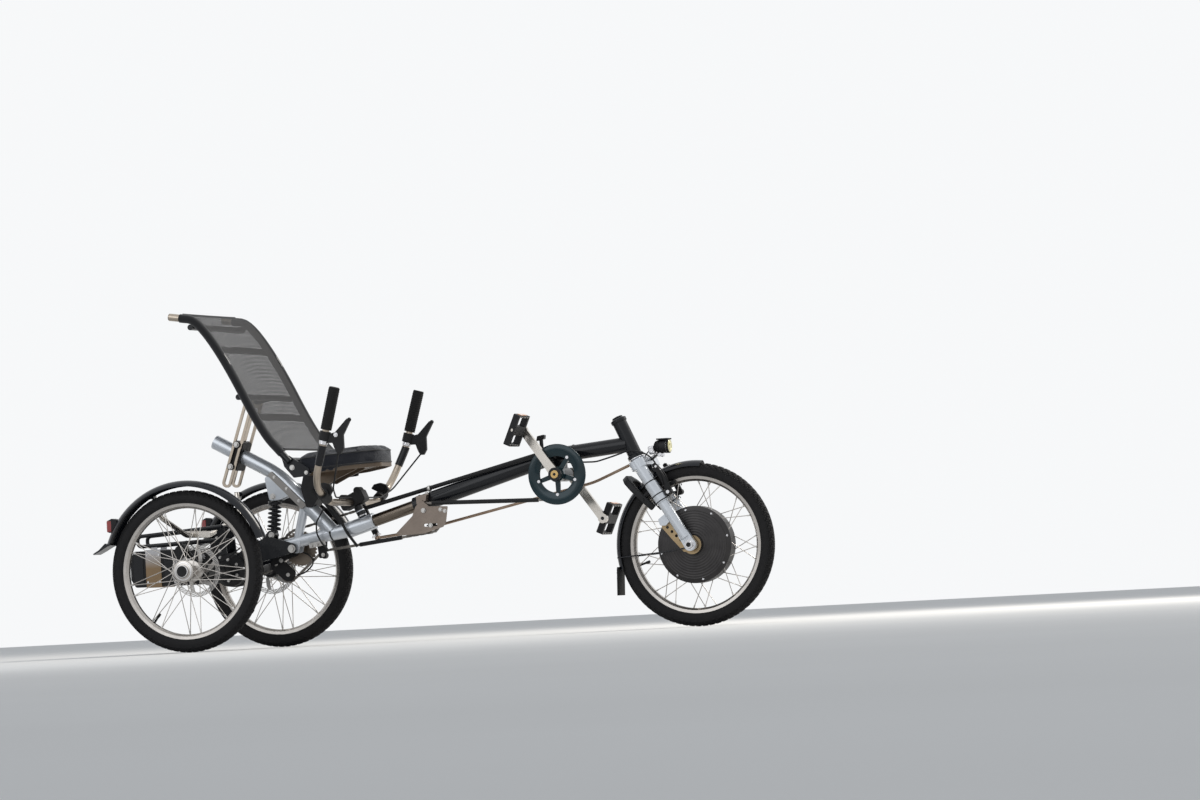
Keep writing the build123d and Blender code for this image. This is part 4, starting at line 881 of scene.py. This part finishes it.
def wheel_detail():
    """Spoke nipples, valve, rim beads and hub caps of the three wheels."""
    rim_radius = 196
    for body, cx, cy, crossing, hub_radius, hub_half in spoke_sets:
        n = Batch(body + "_nipples", steel, body, "steel")
        for side in sides:
            for i in range(18):
                hub_turn = math.radians(20 * i + (10 if side > 0 else 0))
                turn = hub_turn + math.radians(crossing if i % 2 else -crossing)
                rim_end = at(cx + rim_radius * math.cos(turn), cy + side * 3,
                             wheel_radius + rim_radius * math.sin(turn))
                hub_end = at(cx + hub_radius * math.cos(hub_turn), cy + side * hub_half,
                             wheel_radius + hub_radius * math.sin(hub_turn))
                axis = (hub_end - rim_end).normalized()
                n.barrel(rim_end + axis * 7 * mm, axis, 2.2, 11, 8, 0.3)
        n.done()
        v = Batch(body + "_valve", black_plastic, body, "black_plastic")
        turn = math.radians(196 if body == "front_wheel" else 232)
        axis = Vector((math.cos(turn), 0, math.sin(turn)))
        centre = at(cx, cy, wheel_radius)
        v.barrel(centre + axis * 0.182, axis, 3.4, 26, 14, 0.4)
        v.barrel(centre + axis * 0.166, axis, 4.4, 12, 14, 0.8)
        for side in sides:
            v.hoop(centre + Vector((0, side * 0.0135, 0)), (0, 1, 0), 211.5, 2.4, 1.4, 120)
        v.done()
    for body, side in (("rear_wheel_right", -1), ("rear_wheel_left", 1)):
        cy = side * half_track
        c = Batch(body + "_cap", chrome, body, "alloy")
        c.hoop(at(0, cy + side * 43.2, wheel_radius), (0, side, 0), 17.8, 1.8, 2.6, 48)
        c.hoop(at(0, cy + side * 35.5, wheel_radius), (0, side, 0), 26, 2.4, 1.4, 48)
        for i in range(6):
            turn = math.radians(60 * i + 10)
            place = at(21 * math.cos(turn), cy - side * 71, wheel_radius + 21 * math.sin(turn))
            c.barrel(place, (0, side, 0), 3, 3, 6)
        c.done()
        d = Batch(body + "_plug", black_plastic, body, "black_plastic")
        d.barrel(at(0, cy + side * 45.2, wheel_radius), (0, side, 0), 17, 2, 40, 0.4)
        d.done()


def crank_detail():
    """Caps, pedal bores, ring bolts and guard edge of the crank."""
    c = Batch("crank_caps", black_paint, "crank", "gloss_black")
    g = Batch("crank_bronze", brass, "crank", "steel")
    s = Batch("ring_bolts", chrome, "crank", "steel")
    for side, face in ((-1, 71), (1, 79)):
        c.barrel(at(crank_x, side * (face + 1.5), crank_z), (0, side, 0), 21, 5, 40, 1.2)
        g.barrel(at(crank_x, side * (face + 5), crank_z), (0, side, 0), 12.5, 4, 32, 0.8)
        c.barrel(at(crank_x, side * (face + 7.2), crank_z), (0, side, 0), 5, 1, 6, 0.1)
    for sign, inner_face, outer_face in ((1, -57.8, -71.4), (-1, 65.8, 79.4)):
        c.barrel(pedal_eye(sign, inner_face), (0, 1, 0), 5.5, 1.4, 24, 0.2)
        s.barrel(pedal_eye(sign, outer_face), (0, 1, 0), 9, 1.4, 24, 0.3)
    bolt_circle = 62
    for i in range(5):
        angle = math.radians(-(72 * i + 18))
        place = at(crank_x + bolt_circle * math.cos(angle), -57, crank_z + bolt_circle * math.sin(angle))
        s.barrel(place, (0, -1, 0), 5, 2.4, 24, 0.5)
    for batch in (c, g, s):
        batch.done()
    # The guard edge carries the same painted teal sheen.
    r = Batch("guard_edge", ring_guard_painted_sheen, "crank", "gloss_black")
    r.lathe(at(crank_x, 0, crank_z), [(57, 55.2), (59, 56.6), (88, 56.6), (92, 55.4), (93.4, 53), (92, 50.6)],
            (0, -1, 0), 120)
    r.done()


def pedal_detail():
    """Grip pins and reflectors of the pedals."""
    for name, sign, middle in (("right", 1, -122), ("left", -1, 130)):
        body = "pedal_" + name
        tilt = Matrix.Translation(pedal_eye(sign, middle)) @ Matrix.Rotation(math.radians(-66), 4, "Y")
        level = tilt.to_3x3().to_4x4()
        p = Batch("pedal_pins_" + name, steel, body, "steel")
        for x in (-45, 45):
            for y in (-40, -24, -8, 8, 24, 40):
                for z in (-10.5, 10.5):
                    place = tilt @ Vector((x * mm, y * mm, z * mm))
                    p.barrel(place, level @ Vector((0, 0, 1)), 1.8, 4, 8, 0.2)
        p.done()
        a = Batch("pedal_reflectors_" + name, amber, body, "lens")
        for x in (-50.6, 50.6):
            a.box(tilt @ Vector((x * mm, 0, 0)), (2.4, 58, 13), level, 0.6)
        a.done()


def handle_detail():
    """Sleeves, collars, grip ribs and lever screws of both handles, and bolts and ball joint of the stem."""
    foot, top = Vector((458, 350, 606)), Vector((508, 356, 779))
    below = Vector((412, 318, 492))
    up_axis = (top - foot).normalized()
    low_axis = (foot - below).normalized()
    g = Batch("handle_sleeves", black_paint, "handlebar", "black_frame")
    c = Batch("handle_collars", chrome, "handlebar", "alloy")
    ribs = Batch("grip_ribs", rubber, "handlebar", "rubber")
    for side in sides:
        def there(point):
            return at(point.x, side * point.y, point.z)

        g.hose([there(foot - low_axis * 58), there(foot - low_axis * 14),
                there(foot - low_axis * 2 + up_axis * 2), there(foot + up_axis * 6)], 12.7, 20)
        axis = Vector((up_axis.x, side * up_axis.y, up_axis.z))
        for reach, radius in ((12, 13.6), (16, 14.2), (20, 13.6)):
            c.hoop(there(foot + up_axis * reach), axis, radius - 1.5, 2, 2.6)
        for i in range(17):
            ribs.hoop(there(top - up_axis * (4 + 7 * i)), axis, 16.9, 0.8, 1.8, 32)
        ribs.barrel(there(top + up_axis * 7), axis, 16, 3, 32, 1.2)
        c.bolt(472, side * 357, 634, side, 4)
        c.bolt(506, side * 356.4, 642, side, 5)
    for batch in (g, c, ribs):
        batch.done()
    s = Batch("stem_bolts", chrome, "handlebar", "steel")
    s.barrel(leaned(column_foot, 0, 0, -57), lean_axis, 12, 9, 32, 1.6, 16)
    s.barrel(leaned(column_foot, 0, 0, -64), lean_axis, 8, 6, 6, 0.8)
    s.barrel(leaned(column_foot, -6, 56, -120.5), lean_axis, 17, 7, 36, 1.2, 11)
    s.barrel(leaned(column_foot, -6, 56, -140.8), lean_axis, 8, 6, 6, 0.8)
    for forward in (-22, 16):
        for y in (-12, 12):
            s.barrel(leaned(column_foot, forward, y, 22.5), lean_axis, 4, 4, 6)
    s.done()


def mesh_back():
    """Open net between the side rails, sagging a little, with a hem round each rail and cross straps."""
    line = [Vector((x, 0, z)) for x, z in ((-52, 1038), (2, 1030), (92, 900), (205, 668), (266, 600))]
    smooth = eased(line, 4)
    lengths = [0]
    for a, b in zip(smooth, smooth[1:]):
        lengths.append(lengths[-1] + (b - a).length)
    rows, columns = 72, 36
    depth_of_sag, clearance = 14, 12.5

    def along(distance):
        for i in range(1, len(smooth)):
            if lengths[i] >= distance or i == len(smooth) - 1:
                part = (distance - lengths[i - 1]) / (lengths[i] - lengths[i - 1])
                tangent = (smooth[i] - smooth[i - 1]).normalized()
                return smooth[i - 1].lerp(smooth[i], part), tangent

    def sunk(across, down):
        return -depth_of_sag * (1 - across * across) * math.sin(math.pi * min(1, max(0, down)))

    bm = bmesh.new()
    uv = bm.loops.layers.uv.new("cloth")
    bmesh.ops.create_grid(bm, x_segments=columns, y_segments=rows, size=0.5)
    flat = {}
    for vert in bm.verts:
        across, down = vert.co.x * 2, vert.co.y + 0.5
        distance = down * lengths[-1]
        place, tangent = along(distance)
        normal = Vector((tangent.z, 0, -tangent.x))
        rise = clearance
        if abs(across) >= 0.93:
            rise = clearance - 9 * ((abs(across) - 0.93) / 0.07) ** 2
        reach = across * (rail_half + (8 if abs(across) > 0.99 else 0))
        spot = place - normal * (rise + sunk(across, down))
        flat[vert] = (across * rail_half * mm, distance * mm)
        vert.co = at(spot.x, reach, spot.z)
    for face in bm.faces:
        for loop in face.loops:
            loop[uv].uv = flat[loop.vert]
    piece = made("mesh_back", bm, net_cloth, "frame")
    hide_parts("backrest_sling")

    h = Batch("mesh_hems", hem_cloth, "frame", "mesh")
    for side in sides:
        points = []
        for i in range(41):
            place = along(lengths[-1] * i / 40)[0]
            points.append(at(place.x, side * rail_half, place.z))
        h.hose(points, 13.6, 16, 0)
    for part in (0.012, 0.988):
        place, tangent = along(lengths[-1] * part)
        normal = Vector((tangent.z, 0, -tangent.x))
        row = []
        for i in range(13):
            across = -1 + i / 6
            spot = place - normal * (clearance + sunk(across, part))
            row.append(at(spot.x, across * 206, spot.z))
        h.hose(row, 3.4, 10, 1)
    for part in (0.3, 0.74):
        place, tangent = along(lengths[-1] * part)
        turn = Matrix.Rotation(-math.atan2(tangent.z, tangent.x), 4, "Y")
        h.box(at(place.x, 0, place.z), (24, 408, 1.6), turn, 0.4)
    hems = h.done()
    ends = Batch("rail_ends", bar_metal, "frame", "alloy")
    for side in sides:
        y = side * rail_half
        ends.hose([at(-87, y, 1043.8), at(-70, y, 1041.2), at(-54, y, 1038.7)], 11.5, 20)
        ends.barrel(at(-88.6, y, 1044.1), (-90, 0, 14), 10, 2, 24, 0.6)
    ends.done()


mesh_back()
cushion_seams(cushion())
rear_and_frame_hardware()
weld_beads()
battery_detail()
rear_cables()
lamp_detail()
fork_detail()
front_brake_cable()
mud_flap()
wheel_lock()
motor_covers()
wheel_detail()
crank_detail()
pedal_detail()
handle_detail()


def camera():
    """The camera of the photograph, from the fit to its three wheels."""
    azimuth, elevation, roll = math.radians(19.44), math.radians(-1.9), math.radians(-2.97)
    focal_px, photo_width, sensor, distance = 6268.2, 1200, 36, 19.249
    target = at(1241.9, 0, 709.2)
    look = Vector((-math.sin(azimuth) * math.cos(elevation), math.cos(azimuth) * math.cos(elevation),
                   -math.sin(elevation)))
    right = look.cross(Vector((0, 0, 1))).normalized()
    up = right.cross(look)
    turned_right = math.cos(roll) * right + math.sin(roll) * up
    turned_up = math.cos(roll) * up - math.sin(roll) * right
    data = bpy.data.cameras.new("camera")
    data.sensor_width = sensor
    data.lens = focal_px * sensor / photo_width
    data.clip_end = 200
    holder = bpy.data.objects.new("camera", data)
    axes = Matrix((turned_right, turned_up, -look)).transposed().to_4x4()
    holder.matrix_world = Matrix.Translation(target - look * distance) @ axes
    bpy.context.collection.objects.link(holder)
    bpy.context.scene.camera = holder


def lamp(name, place, aim, size, energy, colour):
    """A square area lamp that faces a point."""
    data = bpy.data.lights.new(name, "AREA")
    data.size = size
    data.energy = energy
    data.color = colour
    holder = bpy.data.objects.new(name, data)
    holder.location = place
    holder.rotation_euler = (Vector(aim) - Vector(place)).to_track_quat("-Z", "Y").to_euler()
    bpy.context.collection.objects.link(holder)


def studio():
    """World that shows white to camera, glass and metal, with a pale floor and two lamps."""
    world = bpy.data.worlds.new("studio")
    world.use_nodes = True
    tree = world.node_tree
    light = tree.nodes["Background"]
    light.inputs[0].default_value = (0.86, 0.92, 1.0, 1)
    light.inputs[1].default_value = 0.55
    shown = tree.nodes.new("ShaderNodeBackground")
    shown.inputs[0].default_value = (0.93, 0.94, 0.95, 1)
    shown.inputs[1].default_value = 1.0
    path = tree.nodes.new("ShaderNodeLightPath")
    seen = path.outputs["Is Camera Ray"]
    for ray in ("Is Transmission Ray", "Is Glossy Ray"):
        either = tree.nodes.new("ShaderNodeMath")
        either.operation = "MAXIMUM"
        tree.links.new(seen, either.inputs[0])
        tree.links.new(path.outputs[ray], either.inputs[1])
        seen = either.outputs[0]
    mix = tree.nodes.new("ShaderNodeMixShader")
    tree.links.new(seen, mix.inputs[0])
    tree.links.new(light.outputs[0], mix.inputs[1])
    tree.links.new(shown.outputs[0], mix.inputs[2])
    tree.links.new(mix.outputs[0], tree.nodes["World Output"].inputs[0])
    bpy.context.scene.world = world

    bm = bmesh.new()
    bmesh.ops.create_grid(bm, x_segments=1, y_segments=1, size=30)
    f = Finish("floor_paper", (0.72, 0.71, 0.69), 0.9)
    f.set("Base Color", f.mix(f.noise(0.7, 3), (0.70, 0.69, 0.67), (0.74, 0.73, 0.71)))
    ground = formed("floor", bm, f.material)
    lamp("key", (3.0, 3.0, 4.5), (0, 0, 0.4), 2.5, 300, (1.0, 0.96, 0.9))
    lamp("side", (-2.0, -5.0, 3.0), (0, 0, 0.4), 4.0, 60, (0.95, 0.97, 1.0))


camera()
studio()
bpy.context.scene.view_settings.view_transform = "Standard"
